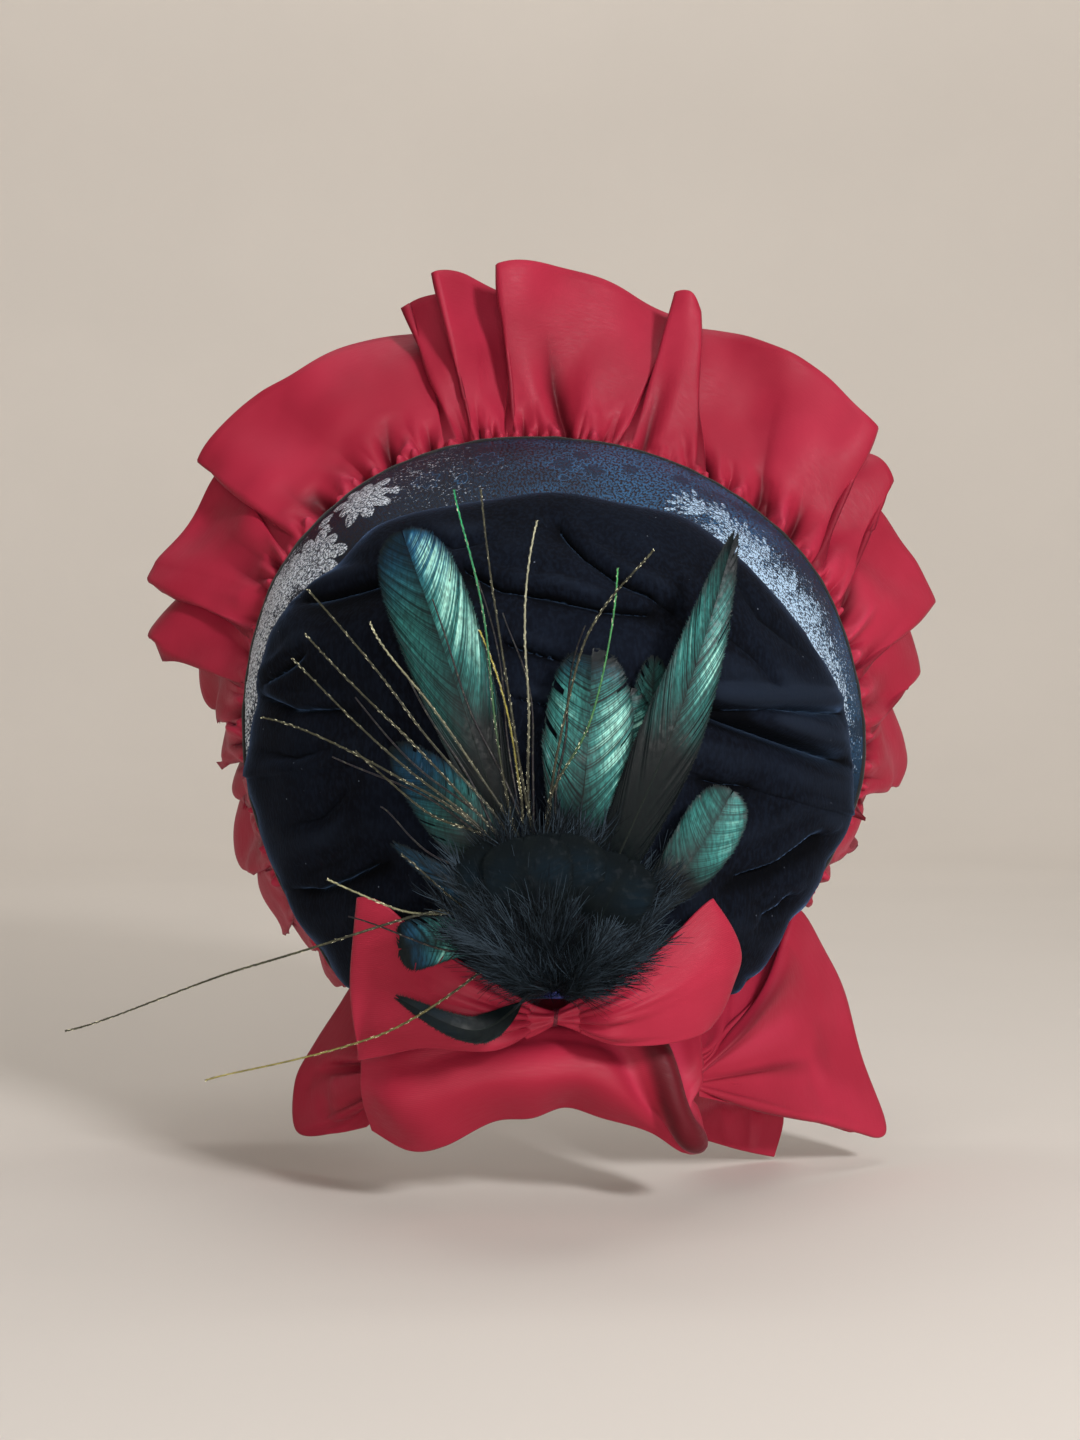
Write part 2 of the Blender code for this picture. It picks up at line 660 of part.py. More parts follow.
def build_tie(name, pinch, seats, rim, slack=0.0, tuck=None, rows=6, columns=14):
    """A tie's end, fanned from its pinch. A tuck is a first corner that is slipped out of sight."""
    places = [(*tuck, 0.0, 0.0)] if tuck else []
    for turn in seats:
        places.append((*tie_seat(turn, slack), 0.0, TIE_CLEARANCE if places else 0.0))
    places += [(*row, 0.0) for row in rim]
    grid = []
    count = len(places)
    for i in range(columns):
        share = i / (columns - 1)
        rows_by_place = [(k, *row) for k, row in enumerate(places)]
        x, y, z, belly, spread = read_rows(rows_by_place, share * (count - 1))
        radial = Vector((x, 0.0, z)).normalized()
        foot = pinch + Vector((0.0, 0.0, PINCH_STEP * (0.5 - share) * (count - 1)))
        line = []
        for j in range(rows):
            out = 1 - j / (rows - 1)
            point = foot.lerp(Vector((x, y, z)), out)
            swell = math.sin(math.pi * out)
            line.append(point + Vector((0.0, belly * swell, 0.0)) + radial * spread * swell)
        grid.append(line)
    return sheet_object(name, grid, SATIN_WALL, "satin")


def build_knot():
    bm = bmesh.new()
    bmesh.ops.create_uvsphere(bm, u_segments=12, v_segments=6, radius=1.0)
    for vert in bm.verts:
        angle = math.atan2(vert.co.z, vert.co.x)
        squeeze = 1 + 0.12 * KNOT_PUCKER * math.cos(angle * 6)
        pinch = 1 - 0.25 * math.exp(-(vert.co.x / 0.3) ** 2)
        vert.co = Vector((
            vert.co.x * KNOT_RADII.x * squeeze,
            vert.co.y * KNOT_RADII.y * pinch,
            vert.co.z * KNOT_RADII.z * squeeze * pinch,
        )) + KNOT_CENTRE
    return mesh_object("bow_knot", bm, "satin")


def feather_half_width(share, half, widest, tip_round):
    """A feather's half width: a bare quill, a swelling vane and a pointed or round tip."""
    if share < QUILL_SHARE:
        return QUILL_HALF
    along = (share - QUILL_SHARE) / (1 - QUILL_SHARE)
    peak = (widest - QUILL_SHARE) / (1 - QUILL_SHARE)
    if along < peak:
        swell = math.sin(along / peak * math.pi / 2) ** 0.8
        return QUILL_HALF + (half - QUILL_HALF) * swell
    fall = (along - peak) / (1 - peak)
    pointed = 1 - fall ** 1.3
    rounded = math.sqrt(max(1 - fall ** 2.6, 0.0))
    return max(half * (pointed * (1 - tip_round) + rounded * tip_round), 0.25)


def build_feather(name, foot, middle, tip, half, widest, tip_round):
    """A thin blade with a ridge along its shaft."""
    bm = bmesh.new()
    rings = []
    for i in range(FEATHER_STATIONS):
        share = i / (FEATHER_STATIONS - 1)
        centre = smooth_path((foot, middle, tip), share)
        ahead = smooth_path((foot, middle, tip), min(share + 0.02, 1.0))
        behind = smooth_path((foot, middle, tip), max(share - 0.02, 0.0))
        along = (ahead - behind).normalized()
        side = along.cross(Vector((0.0, 1.0, 0.0))).normalized()
        up = side.cross(along)
        reach = feather_half_width(share, half, widest, tip_round)
        ridge = SHAFT_HALF * (1 - 0.6 * share)
        ring = (side * reach, up * ridge, side * -reach, up * -ridge)
        rings.append([bm.verts.new(centre + offset) for offset in ring])
    for near, far in zip(rings, rings[1:]):
        for k in range(4):
            m = (k + 1) % 4
            bm.faces.new((near[k], near[m], far[m], far[k]))
    bm.faces.new(rings[0])
    bm.faces.new(list(reversed(rings[-1])))
    return mesh_object(name, bm, "feather")


def ellipsoid(name, centre, radii, look, segments=10, rings=6):
    bm = bmesh.new()
    bmesh.ops.create_uvsphere(bm, u_segments=segments, v_segments=rings, radius=1.0)
    for vert in bm.verts:
        vert.co = Vector((vert.co.x * radii.x, vert.co.y * radii.y, vert.co.z * radii.z)) + centre
    return mesh_object(name, bm, look)


def strand(name, points, half_wide, half_deep, look, stations, sides, swell):
    """A thin tapering lock or herl through a few points."""
    bm = bmesh.new()
    rings = []
    for i in range(stations):
        share = i / (stations - 1)
        centre = smooth_path(points, share)
        along = smooth_path(points, min(share + 0.02, 1.0)) - smooth_path(points, max(share - 0.02, 0.0))
        side = along.cross(Vector((0.0, 1.0, 0.0))).normalized()
        up = side.cross(along).normalized()
        size = swell(share)
        ring = []
        for k in range(sides):
            angle = 2 * math.pi * k / sides + math.pi / 2
            offset = side * math.cos(angle) * half_wide + up * math.sin(angle) * half_deep
            ring.append(bm.verts.new(centre + offset * size))
        rings.append(ring)
    for near, far in zip(rings, rings[1:]):
        for k in range(sides):
            m = (k + 1) % sides
            bm.faces.new((near[k], near[m], far[m], far[k]))
    bm.faces.new(rings[0])
    bm.faces.new(list(reversed(rings[-1])))
    return mesh_object(name, bm, look)


def fuse(base, pieces):
    """Join loose pieces to their head as one closed body, then drop the loose ones."""
    for piece in pieces:
        union = base.modifiers.new("union", "BOOLEAN")
        union.operation = "UNION"
        union.solver = "MANIFOLD"
        union.object = piece
        graph = bpy.context.evaluated_depsgraph_get()
        mesh = bpy.data.meshes.new_from_object(base.evaluated_get(graph))
        base.modifiers.clear()
        old = base.data
        base.data = mesh
        bpy.data.meshes.remove(old)
        bpy.data.objects.remove(piece, do_unlink=True)
    base.data.name = base.name
    return base


def build_herls():
    head = ellipsoid("herl_spray", HERL_HEAD, HERL_HEAD_RADII, "herl", 8, 5)
    pieces = []
    for index, (name, *points) in enumerate(HERLS):
        lean = Vector((0.4 * math.sin(index * 2.1), 0.0, 0.4 * math.cos(index * 1.7)))
        way = [HERL_HEAD + lean] + [Vector(point) for point in points]
        pieces.append(strand(
            name.replace(" ", "_"), way, HERL_HALF, HERL_HALF, "herl", HERL_STATIONS, 3,
            lambda share: 1.0 - 0.45 * share,
        ))
    return fuse(head, pieces)


def down_lock(name, way):
    return strand(
        name, way, LOCK_HALF_WIDTH, LOCK_HALF_DEPTH, "down", 5, 4,
        lambda share: max(math.sin(math.pi * (0.28 + 0.66 * share)), 0.16),
    )


def build_down():
    base = ellipsoid("marabou_tuft", DOWN_CENTRE, DOWN_RADII, "down", 12, 6)
    pieces = []
    for index, (turn, reach, lift) in enumerate(DOWN_LOCKS):
        angle = math.radians(turn)
        ray = Vector((math.sin(angle), 0.0, math.cos(angle)))
        side = Vector((ray.z, 0.0, -ray.x))
        sway = 2.5 * math.sin(index * 2.3)
        way = [
            DOWN_CENTRE + ray * 3.0,
            DOWN_CENTRE + ray * reach * 0.55 + Vector((0.0, -lift * 0.7, 0.0)) + side * sway,
            DOWN_CENTRE + ray * reach + Vector((0.0, -lift * 0.5, 0.0)) - side * sway,
        ]
        pieces.append(down_lock("lock_%02d" % index, way))
    root = [DOWN_CENTRE] + [Vector(point) for point in DOWN_ROOT]
    pieces.append(down_lock("lock_root", root))
    return fuse(base, pieces)


def build_wrap():
    """A short barrel of thread with a few shallow rounds."""
    bm = bmesh.new()
    sides = 12
    levels = WRAP_TURNS * 2
    rings = []
    for level in range(levels + 1):
        share = level / levels
        radius = WRAP_RADIUS * (0.88 if level % 2 == 0 else 1.0)
        height = WRAP_HEIGHT * (share - 0.5)
        ring = []
        for k in range(sides):
            angle = 2 * math.pi * k / sides
            offset = Vector((math.cos(angle) * radius * 1.15, math.sin(angle) * radius * 0.9, height))
            ring.append(bm.verts.new(WRAP_CENTRE + offset))
        rings.append(ring)
    for near, far in zip(rings, rings[1:]):
        for k in range(sides):
            m = (k + 1) % sides
            bm.faces.new((near[k], near[m], far[m], far[k]))
    bm.faces.new(rings[0])
    bm.faces.new(list(reversed(rings[-1])))
    return mesh_object("thread_wrap", bm, "thread")


def build():
    clear_scene()
    build_crown()
    build_brim()
    build_binding()
    build_ruffle()
    section_sheet("curtain", CURTAIN_SECTIONS, SATIN_WALL, "satin", 34, 6)
    section_sheet("bow_loop_left", LOOP_LEFT_SECTIONS, SATIN_WALL, "satin", 18, 6)
    section_sheet("bow_loop_right", LOOP_RIGHT_SECTIONS, SATIN_WALL, "satin", 18, 6)
    build_knot()
    build_tie("tie_left", TIE_LEFT_PINCH, TIE_LEFT_SEATS, TIE_LEFT_RIM)
    build_tie("tie_right", TIE_RIGHT_PINCH, TIE_RIGHT_SEATS, TIE_RIGHT_RIM, TIE_RIGHT_SLACK,
              TIE_RIGHT_TUCK)
    section_sheet("tie_tail", TIE_TAIL_SECTIONS, SATIN_WALL, "satin", 7, 5)
    for row in FEATHERS + SIDE_FEATHERS:
        build_feather(*row)
    build_herls()
    build_down()
    build_wrap()


build()
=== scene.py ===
"""The looks of the bonnet: its cloth, feathers, light and camera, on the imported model.

Tables are in millimetres, in the bonnet's own frame: X to the wearer's right, Y the way the
wearer faces, Z up. A turn is an angle in degrees round the Y axis, from 0 at the top, growing
towards the wearer's right. A share runs from 0 at a piece's root to 1 at its free edge.
"""
import json
import math
import random

import bpy
import numpy as np
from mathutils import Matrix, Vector

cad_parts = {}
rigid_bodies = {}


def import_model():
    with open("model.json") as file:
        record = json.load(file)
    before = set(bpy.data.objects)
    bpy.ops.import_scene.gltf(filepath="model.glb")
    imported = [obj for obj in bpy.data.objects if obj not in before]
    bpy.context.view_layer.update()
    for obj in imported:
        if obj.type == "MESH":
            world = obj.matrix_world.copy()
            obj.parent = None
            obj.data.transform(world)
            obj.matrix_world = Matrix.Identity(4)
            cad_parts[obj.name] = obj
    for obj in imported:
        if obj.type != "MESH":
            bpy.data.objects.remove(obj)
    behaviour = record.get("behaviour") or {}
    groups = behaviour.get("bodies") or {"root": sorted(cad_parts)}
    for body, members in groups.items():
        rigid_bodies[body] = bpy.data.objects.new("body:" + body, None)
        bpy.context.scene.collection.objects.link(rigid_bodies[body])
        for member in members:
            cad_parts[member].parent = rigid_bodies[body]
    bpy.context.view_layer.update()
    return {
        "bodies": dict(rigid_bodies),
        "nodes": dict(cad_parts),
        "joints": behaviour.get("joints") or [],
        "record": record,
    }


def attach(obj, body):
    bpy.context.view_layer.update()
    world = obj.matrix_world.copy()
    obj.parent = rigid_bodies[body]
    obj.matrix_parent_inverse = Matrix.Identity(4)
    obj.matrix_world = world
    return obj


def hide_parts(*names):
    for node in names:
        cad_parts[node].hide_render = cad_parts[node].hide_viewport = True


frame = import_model()

MM = 0.001
ROUNDED_EDGE = 0.42

# Walls and gaps
VELVET_WALL = 2.4
BRIM_WALL = 2.4
SATIN_WALL = 0.8
RIBBON_WALL = SATIN_WALL * 0.8
GAP = 0.4

# The binding is a round bias tape, and the ruffle's root stands just outside it
BINDING_RADIUS = 1.6
BRIM_END_SETBACK = BINDING_RADIUS - 2 * GAP
CROWN_END_SETBACK = BINDING_RADIUS + GAP
RUFFLE_SETOFF = BINDING_RADIUS + GAP / 2
SEAM_GAP = 0.1
SEAM_GAP_AT_CORNER = 0.6
CROWN_POLE = Vector((0.0, -105.0, -4.0))

# The velvet's body to either side: turn, how full its curve is and how far it puffs out
CROWN_BODY = (
    (0, 2.20, 2.8),
    (60, 2.15, 1.6),
    (90, 1.85, 0.2),
    (125, 1.90, 0.0),
    (145, 2.35, 0.0),
    (162, 2.95, 0.2),
    (180, 3.00, 0.2),
)

# The bound edge all round, a little uneven as hand work is: turn, x, y, z
EDGE = (
    (-180, 0.0, -60, -83.0),
    (-162, -40.0, -48, -85.0),
    (-143, -64.0, -28, -84.0),
    (-135, -74.0, -22, -74.0),
    (-120, -89.0, -13, -51.0),
    (-100, -100.5, -4, -18.0),
    (-80, -101.0, 4, 18.0),
    (-60, -90.5, 12, 52.0),
    (-40, -66.0, 21, 79.0),
    (-20, -34.0, 26, 93.5),
    (0, 0.0, 28, 96.5),
    (20, 33.5, 26, 90.5),
    (40, 63.5, 21, 75.0),
    (60, 87.5, 12, 50.0),
    (80, 99.5, 4, 17.5),
    (100, 101.2, -4, -18.0),
    (120, 86.5, -13, -49.8),
    (135, 70.5, -22, -71.5),
    (143, 61.0, -28, -82.5),
    (162, 39.5, -48, -85.0),
    (180, 0.0, -60, -83.0),
)

# The seam of the velvet on the brocade, over the top: turn, x, y, z
SEAM = (
    (-100, -101.2, -6.7, -17.9),
    (-94, -98.5, -6, -7.5),
    (-86, -95.5, -12, 6.9),
    (-74, -90.0, -21, 25.0),
    (-64, -79.1, -28, 38.4),
    (-55, -66.5, -34, 47.0),
    (-42, -54.0, -37, 59.0),
    (-24, -28.7, -40, 65.0),
    (0, 0.0, -40, 67.6),
    (21, 24.4, -40, 64.4),
    (33, 39.5, -39, 61.0),
    (44, 51.8, -38, 53.4),
    (58, 65.6, -36, 40.7),
    (70, 77.3, -31, 27.4),
    (81, 88.0, -22, 13.5),
    (90, 94.0, -15, 0.0),
    (98, 96.0, -10, -13.1),
    (108, 97.2, -10, -31.2),
)
BRIM_FROM = SEAM[0][0]
BRIM_TO = SEAM[-1][0]
BRIM_LEFT_TIP = -99.4
BRIM_RIGHT_TIP = 107.4

# Folds draped in the velvet: from x, z to x, z, how deep, how wide
CROWN_FOLDS = (
    ("top pleat left", -26, 42, -1, 36, 3.5, 5.5),
    ("top pleat right", -1, 36, 27, 30, 3.5, 5.5),
    ("slant pleat", 2, 54, 34, 31, 3.0, 5.5),
    ("middle pleat", -14, 21, 4, 17, 2.0, 5.0),
    ("left wedge high", -72, 35, -50, 40, 4.0, 5.5),
    ("left wedge middle", -86, 18, -64, 12, 3.0, 5.5),
    ("left wedge low", -90, 7, -60, 3, 3.5, 5.0),
    ("right pleat upper", 43, 4, 90, 1, 4.0, 4.5),
    ("right pleat lower", 43, 4, 90, -9, 6.0, 6.0),
    ("right hollow", 44, -18, 60, -20, 2.5, 7.0),
    ("low left crease", -74, -50, -50, -42, 4.0, 5.5),
    ("low right crease", 52, -48, 77, -38, 5.0, 6.0),
    ("low right dimple", 62, -56, 67, -54, 4.0, 5.0),
)

# The ruffle's pleats from lower left to lower right. Each has the turns of the edge that its
# cloth is gathered on, then its hem at three places: turn, reach from the Y axis, and y.
RUFFLE_PLEATS = (
    (-141, -132, (-139, 118, 34), (-137, 117, 38), (-135, 113, 41)),
    (-132, -126, (-134, 117, 40), (-133, 118, 42), (-131, 117, 43)),
    (-126, -117, (-129, 122, 42), (-127, 120, 45), (-124, 116, 48)),
    (-117, -105, (-116, 122, 46), (-113, 122, 50), (-106, 115, 55)),
    (-105, -99, (-104, 115, 52), (-102, 117, 56), (-99, 116, 59)),
    (-99, -91, (-98, 120, 55), (-97, 121, 58), (-92, 117, 62)),
    (-91, -84, (-89, 122, 56), (-87, 125, 59), (-81, 127, 62)),
    (-84, -75, (-80, 143, 50), (-78, 144, 53), (-70, 141, 58)),
    (-75, -57, (-71, 151, 46), (-69, 153, 49), (-51, 151, 57)),
    (-57, -19, (-54, 156, 43), (-42, 157, 46), (-21, 151, 61)),
    (-19, -16, (-20, 158, 50), (-18, 159, 50), (-14, 158, 49)),
    (-16, -9, (-15, 161, 34), (-11, 160, 42), (-4, 153, 57)),
    (-9, 15, (-7, 160, 34), (4, 159, 43), (18, 154, 57)),
    (15, 30, (16, 157, 47), (18, 158, 43), (20, 152, 43)),
    (30, 61, (20, 151, 53), (33, 154, 43), (48, 153, 38)),
    (61, 68, (46, 145, 48), (51, 148, 46), (55, 146, 44)),
    (68, 82, (55, 137, 55), (66, 142, 52), (73, 142, 48)),
    (82, 92, (74, 131, 58), (79, 133, 54), (83, 132, 50)),
    (92, 106, (86, 122, 58), (95, 124, 55), (101, 126, 50)),
    (106, 117, (104, 113, 55), (109, 116, 52), (112, 117, 48)),
    (117, 126, (113, 110, 52), (118, 113, 47), (121, 112, 42)),
)
RUFFLE_TUCK = 2.5
RUFFLE_FLARE = 0.26
RUFFLE_LIFT = 5.0

# The nape curtain from left to right: its root under the binding, its shelf behind the bow,
# its belly and its hem. The last three sections are the part that curls back.
CURTAIN_SECTIONS = (
    ((-47, -44, -89), (-56, -76, -97), (-57, -84, -109), (-54, -80, -121)),
    ((-41, -49, -89), (-45, -84, -94), (-47, -93, -109), (-43, -84, -126)),
    ((-31, -54, -88), (-33, -87, -92), (-32, -97, -107), (-32, -86, -124)),
    ((-19, -58, -87), (-19, -88, -91), (-18, -98, -103), (-18, -87, -117)),
    ((-5, -60, -86), (-5, -89, -91), (-5, -98, -102), (-7, -87, -116)),
    ((8, -60, -86), (8, -89, -91), (8, -97, -102), (3, -86, -113)),
    ((20, -58, -87), (20, -87, -93), (18, -95, -106), (14, -86, -116)),
    ((31, -54, -88), (31, -84, -97), (28, -90, -112), (28, -84, -121)),
    ((40, -50, -89), (39, -78, -104), (38, -86, -119), (38, -80, -128)),
    ((44, -56, -92), (44, -70, -103), (44, -77, -115), (43, -76, -126)),
    ((40, -60, -95), (41, -67, -101), (42, -69, -108), (42, -69, -115)),
    ((30, -60, -96), (30, -64, -101), (30, -65, -107), (29, -66, -112)),
)

CURTAIN_ROOT_RISE = 1.7

# Each bow loop from the knot out, round its fold and back: top, middle and foot of the ribbon
LOOP_RIGHT_SECTIONS = (
    ((7.2, -102, -81), (7.4, -103, -85), (7.2, -102, -89)),
    ((15, -107, -76), (16, -110, -83), (17, -105, -92)),
    ((28, -109, -66), (30, -110, -78), (30, -104, -92)),
    ((40, -107, -54), (46, -106, -70), (41, -101, -90)),
    ((44, -105, -51), (53, -100, -68), (45, -96, -88)),
    ((41, -103, -55), (46, -97, -70), (41, -94, -88)),
    ((26, -101, -67), (26, -97.5, -78), (26, -95, -90)),
    ((8, -97, -81), (8, -97, -85), (8, -97, -88)),
)
LOOP_LEFT_SECTIONS = (
    ((-7.2, -102, -81), (-7.4, -103, -85), (-7.2, -102, -89)),
    ((-18, -108, -74), (-18, -111, -83), (-18, -106, -93)),
    ((-35, -107, -64), (-36, -109, -79), (-37, -103, -93)),
    ((-49, -104, -52), (-51, -100, -75), (-49, -98, -96)),
    ((-56, -100, -51), (-59, -94, -76), (-57, -93, -98)),
    ((-49, -98.6, -55), (-51, -91, -75), (-50, -92, -94)),
    ((-32, -100.5, -66), (-32, -96, -79), (-32, -96, -91)),
    ((-8, -97, -81), (-8, -97, -85), (-8, -97, -88)),
)
KNOT_CENTRE = Vector((0.0, -100.0, -85.0))
KNOT_HALF = 10.5
KNOT_HEIGHT = 5.2
KNOT_DEPTH = 3.4
KNOT_WAIST = 0.40

# Each tie is sewn to the edge past the ruffle's end, at these turns, and fans from its pinched
# end out to the rest of its rim: x, y, z and how far the cloth bellies
TIE_RIGHT_TUCK = (42.0, -38.0, -92.0)
TIE_RIGHT_SEATS = (153, 147, 139, 133, 127.5)
TIE_RIGHT_PINCH = Vector((46.0, -61.0, -107.0))
TIE_RIGHT_RIM = (
    (95, -5, -89, -4.0),
    (102, -8, -112, 3.0),
    (108, -15, -134, -3.0),
    (97, -22, -133, 2.0),
    (83, -32, -127, -1.0),
)
TIE_LEFT_SEATS = (-150, -146, -143)
TIE_LEFT_PINCH = Vector((-46.0, -60.0, -106.0))
TIE_LEFT_RIM = (
    (-77, -21, -104, -3.0),
    (-84, -20, -117, 3.0),
    (-83, -20, -133, -3.0),
    (-70, -29, -132, 2.0),
    (-59, -38, -128, -1.0),
)
PINCH_STEP = 1.5
PINCH_SHIFT = 2.2
TIE_CLEARANCE = 4.0

# The right tie's end hangs behind it: left edge, middle and right edge, from top to bottom
TIE_TAIL_SECTIONS = (
    ((42, -58, -110), (55, -51, -112), (63, -45, -116)),
    ((42, -44, -120), (57, -36, -119), (69, -28, -121)),
    ((43, -28, -128), (60, -18, -127), (75, -12, -130)),
    ((45, -24, -134), (61, -16, -140), (72, -11, -143)),
)

# Coque feathers: name, foot, middle, tip, half width, where it is widest, how round its tip is
FEATHERS = (
    ("feather_tall_left", (-4.0, -100.2, -70), (-24, -112.5, -2), (-44, -101, 54), 11.5, 0.76, 0.95),
    ("feather_tall_right", (3.0, -104.3, -70), (32.5, -121, -2), (51, -108, 54), 8.6, 0.47, 0.10),
    ("feather_centre", (0.0, -103.2, -70), (8, -117, -16), (10, -113, 20), 12.5, 0.62, 0.80),
    ("feather_centre_right", (2.0, -101.6, -70), (16, -113.6, -22), (21, -110, 9), 7.5, 0.66, 0.80),
    ("feather_grey", (1.2, -100.0, -70), (23, -110.6, -20), (28, -106, 18), 6.5, 0.68, 0.50),
    ("feather_round_right", (4.0, -101.4, -70), (34, -111, -44), (50, -107, -20), 8.5, 0.74, 0.85),
    ("feather_low_left", (-3.6, -103.6, -70), (-24, -114.5, -32), (-46, -107, -7), 9.0, 0.62, 0.40),
)
SIDE_FEATHERS = (
    ("feather_pointed_left", (-5.5, -101.6, -71), (-24, -117, -50), (-46, -115, -34), 4.0, 0.5, 0.1),
    ("feather_fan", (-5.2, -103.4, -72.5), (-26, -116.5, -61), (-44, -114, -64), 7.0, 0.85, 0.95),
    ("feather_crescent", (-4.9, -104.0, -75.5), (-22, -117.5, -86), (-45, -115, -77), 3.9, 0.45, 0.2),
)
QUILL_HALF = 0.55
QUILL_SHARE = 0.22
LOW_VANES = {"feather_tall_right": 0.08}
BARB_LEAN = 0.12
STEEP_BARBS = {"feather_tall_left": 0.26, "feather_tall_right": 0.19, "feather_centre": 0.16}
SHAFT_HALF = 0.8

# Peacock herls: each runs from the spray's head through its points to its tip
HERL_HEAD = Vector((-0.5, -107.6, -71.0))
HERL_HALF = 0.55
HERLS = (
    ("green tall", (-10, -121.5, -30), (-19, -122, 22), (-30, -120, 63)),
    ("grey tall", (-7, -121.5, -30), (-16, -122, 10), (-20, -120, 64)),
    ("pale tall", (-9, -121.5, -28), (-7, -122, 12), (-5, -120, 55)),
    ("arched right", (-3, -122, -24), (8, -123, 18), (28, -121, 46)),
    ("green right", (-1, -122, -26), (11, -123, 0), (15, -121, 42)),
    ("yellow short", (-8, -121.5, -30), (-13, -122, -11), (-20, -121, 25)),
    ("far left high", (-12, -121, -34), (-42, -121, 0), (-69, -118, 36)),
    ("left high", (-12, -121, -34), (-33, -121, 2), (-50, -118, 28)),
    ("left middle", (-13, -121, -35), (-38, -121, -6), (-71, -118, 22)),
    ("left mat", (-13, -121, -36), (-40, -121, -12), (-74, -118, 16)),
    ("left low", (-14, -121, -36), (-46, -121, -16), (-82, -118, 0)),
    ("left short", (-14, -121, -40), (-35, -121, -26), (-54, -118, -7)),
    ("curled left", (-16, -120.5, -57), (-43, -121, -53), (-62, -119, -42)),
    ("long upper", (-30, -121, -53), (-84, -121, -66), (-136, -117, -87)),
    ("long lower", (-14, -120.5, -62), (-48, -122, -88), (-97, -118, -101)),
    ("pale stem", (-10, -122, -63), (-24, -123, -54), (-44, -121, -39)),
)

# Bare dark stems that stand between the herls
HERL_STEMS = (
    ((-14, -120, -40), (-30, -120, -10), (-41, -118, 14)),
    ((-13, -120, -38), (-34, -120, -14), (-56, -118, 6)),
    ((-10, -120.5, -30), (-22, -120, 4), (-33, -118, 34)),
    ((-8, -120.5, -28), (-14, -120, 6), (-24, -118, 40)),
    ((-6, -120.5, -28), (-9, -120, 4), (-13, -118, 30)),
    ((-12, -120, -42), (-36, -120, -24), (-62, -118, -10)),
    ((-2, -121, -26), (4, -121, 0), (9, -119, 26)),
    ((-12, -120, -46), (-34, -120, -36), (-50, -118, -26)),
    ((-9, -121, -60), (-30, -121, -62), (-58, -118, -56)),
)

# The down: locks round a domed backing, with their turn, reach and lift from the bonnet
DOWN_CENTRE = Vector((0.5, -126.2, -57.0))
DOWN_LOCKS = (
    (-100, 30, 3),
    (-80, 34, 5),
    (-60, 36, 6),
    (-42, 35, 5),
    (-24, 33, 6),
    (-6, 31, 5),
    (12, 31, 6),
    (30, 33, 5),
    (48, 36, 6),
    (66, 38, 5),
    (84, 35, 5),
    (104, 28, 4),
    (126, 23, 3),
    (150, 20, 2),
    (182, 17, 2),
    (214, 20, 2),
    (238, 25, 3),
)

WRAP_CENTRE = Vector((0.0, -102.0, -74.8))
WRAP_RADIUS = 4.0
WRAP_HEIGHT = 8.4

# Fine drapes of the velvet: points x, z along a pleat, its depth, width, and the lip above it
VELVET_PLEATS = (
    (((-27, 44), (-16, 38), (-1, 36), (14, 32), (29, 31)), 3.6, 1.7, 0.9),
    (((1, 57), (9, 47.5), (18, 41.3), (27.5, 37), (35, 31)), 3.2, 1.6, 0.8),
    (((-15, 22), (-5, 19), (6, 16)), 2.6, 1.5, 0.8),
    (((-12, 6), (-4, 4.6), (3, 3)), 2.2, 1.4, 0.7),
    (((-76, 35.5), (-63, 39), (-50, 41.5)), 3.6, 1.7, 0.9),
    (((-90, 11), (-84, 15), (-74, 21.5)), 3.0, 1.6, 0.8),
    (((-92, 8), (-80, 3.2), (-64, 3.5)), 3.4, 1.6, 0.9),
    (((-80, -52.5), (-72, -53), (-63, -49), (-52, -43)), 3.6, 1.8, 1.0),
    (((41, 4.4), (60, 3.2), (91, 2.2)), 5.2, 2.0, 0.8),
    (((41, 2.6), (62, -4), (92, -14)), 7.5, 3.0, 1.0),
    (((41, -17), (50, -19.5), (58, -19)), 2.2, 2.4, 0.6),
    (((54, -47.5), (66, -44), (82, -35)), 4.2, 2.2, 1.0),
    (((62, -60), (68, -57), (72, -53)), 3.0, 1.8, 0.9),
    (((48, 26), (58, 18), (66, 8)), 1.6, 2.6, 0.5),
    (((-40, 54), (-30, 50), (-18, 52)), 1.8, 2.0, 0.6),
    (((52, 42), (60, 30), (74, 20)), 1.4, 2.4, 0.5),
    (((-60, -20), (-70, -30), (-80, -32)), 1.6, 2.4, 0.6),
    (((-66, -8), (-78, -12), (-90, -10)), 1.8, 2.2, 0.6),
)

# Gathers of the velvet at its rim: turn, lean, reach, depth, width in degrees
RIM_GATHERS = (
    (-160, 6, 0.28, 1.8, 2.2), (-148, -5, 0.30, 2.2, 2.0), (-136, 4, 0.26, 1.8, 2.2),
    (-121, -4, 0.24, 1.6, 2.2), (-108, 3, 0.20, 1.2, 2.0), (-88, 3, 0.16, 0.9, 1.6),
    (-70, -3, 0.14, 0.8, 1.6), (-51, 2, 0.14, 0.9, 1.4), (-37, -2, 0.12, 0.8, 1.4),
    (-20, 3, 0.14, 0.9, 1.4), (-6, -2, 0.12, 0.8, 1.4), (9, 3, 0.14, 0.9, 1.4),
    (25, -3, 0.14, 0.9, 1.4), (40, 2, 0.14, 0.9, 1.4), (57, -3, 0.16, 1.0, 1.6),
    (74, 3, 0.18, 1.1, 1.6), (104, -4, 0.22, 1.4, 2.0), (117, 4, 0.26, 1.8, 2.2),
    (131, -5, 0.28, 2.2, 2.0), (143, 5, 0.30, 2.2, 2.0), (156, -4, 0.28, 2.0, 2.2),
    (170, 4, 0.26, 1.8, 2.2),
)

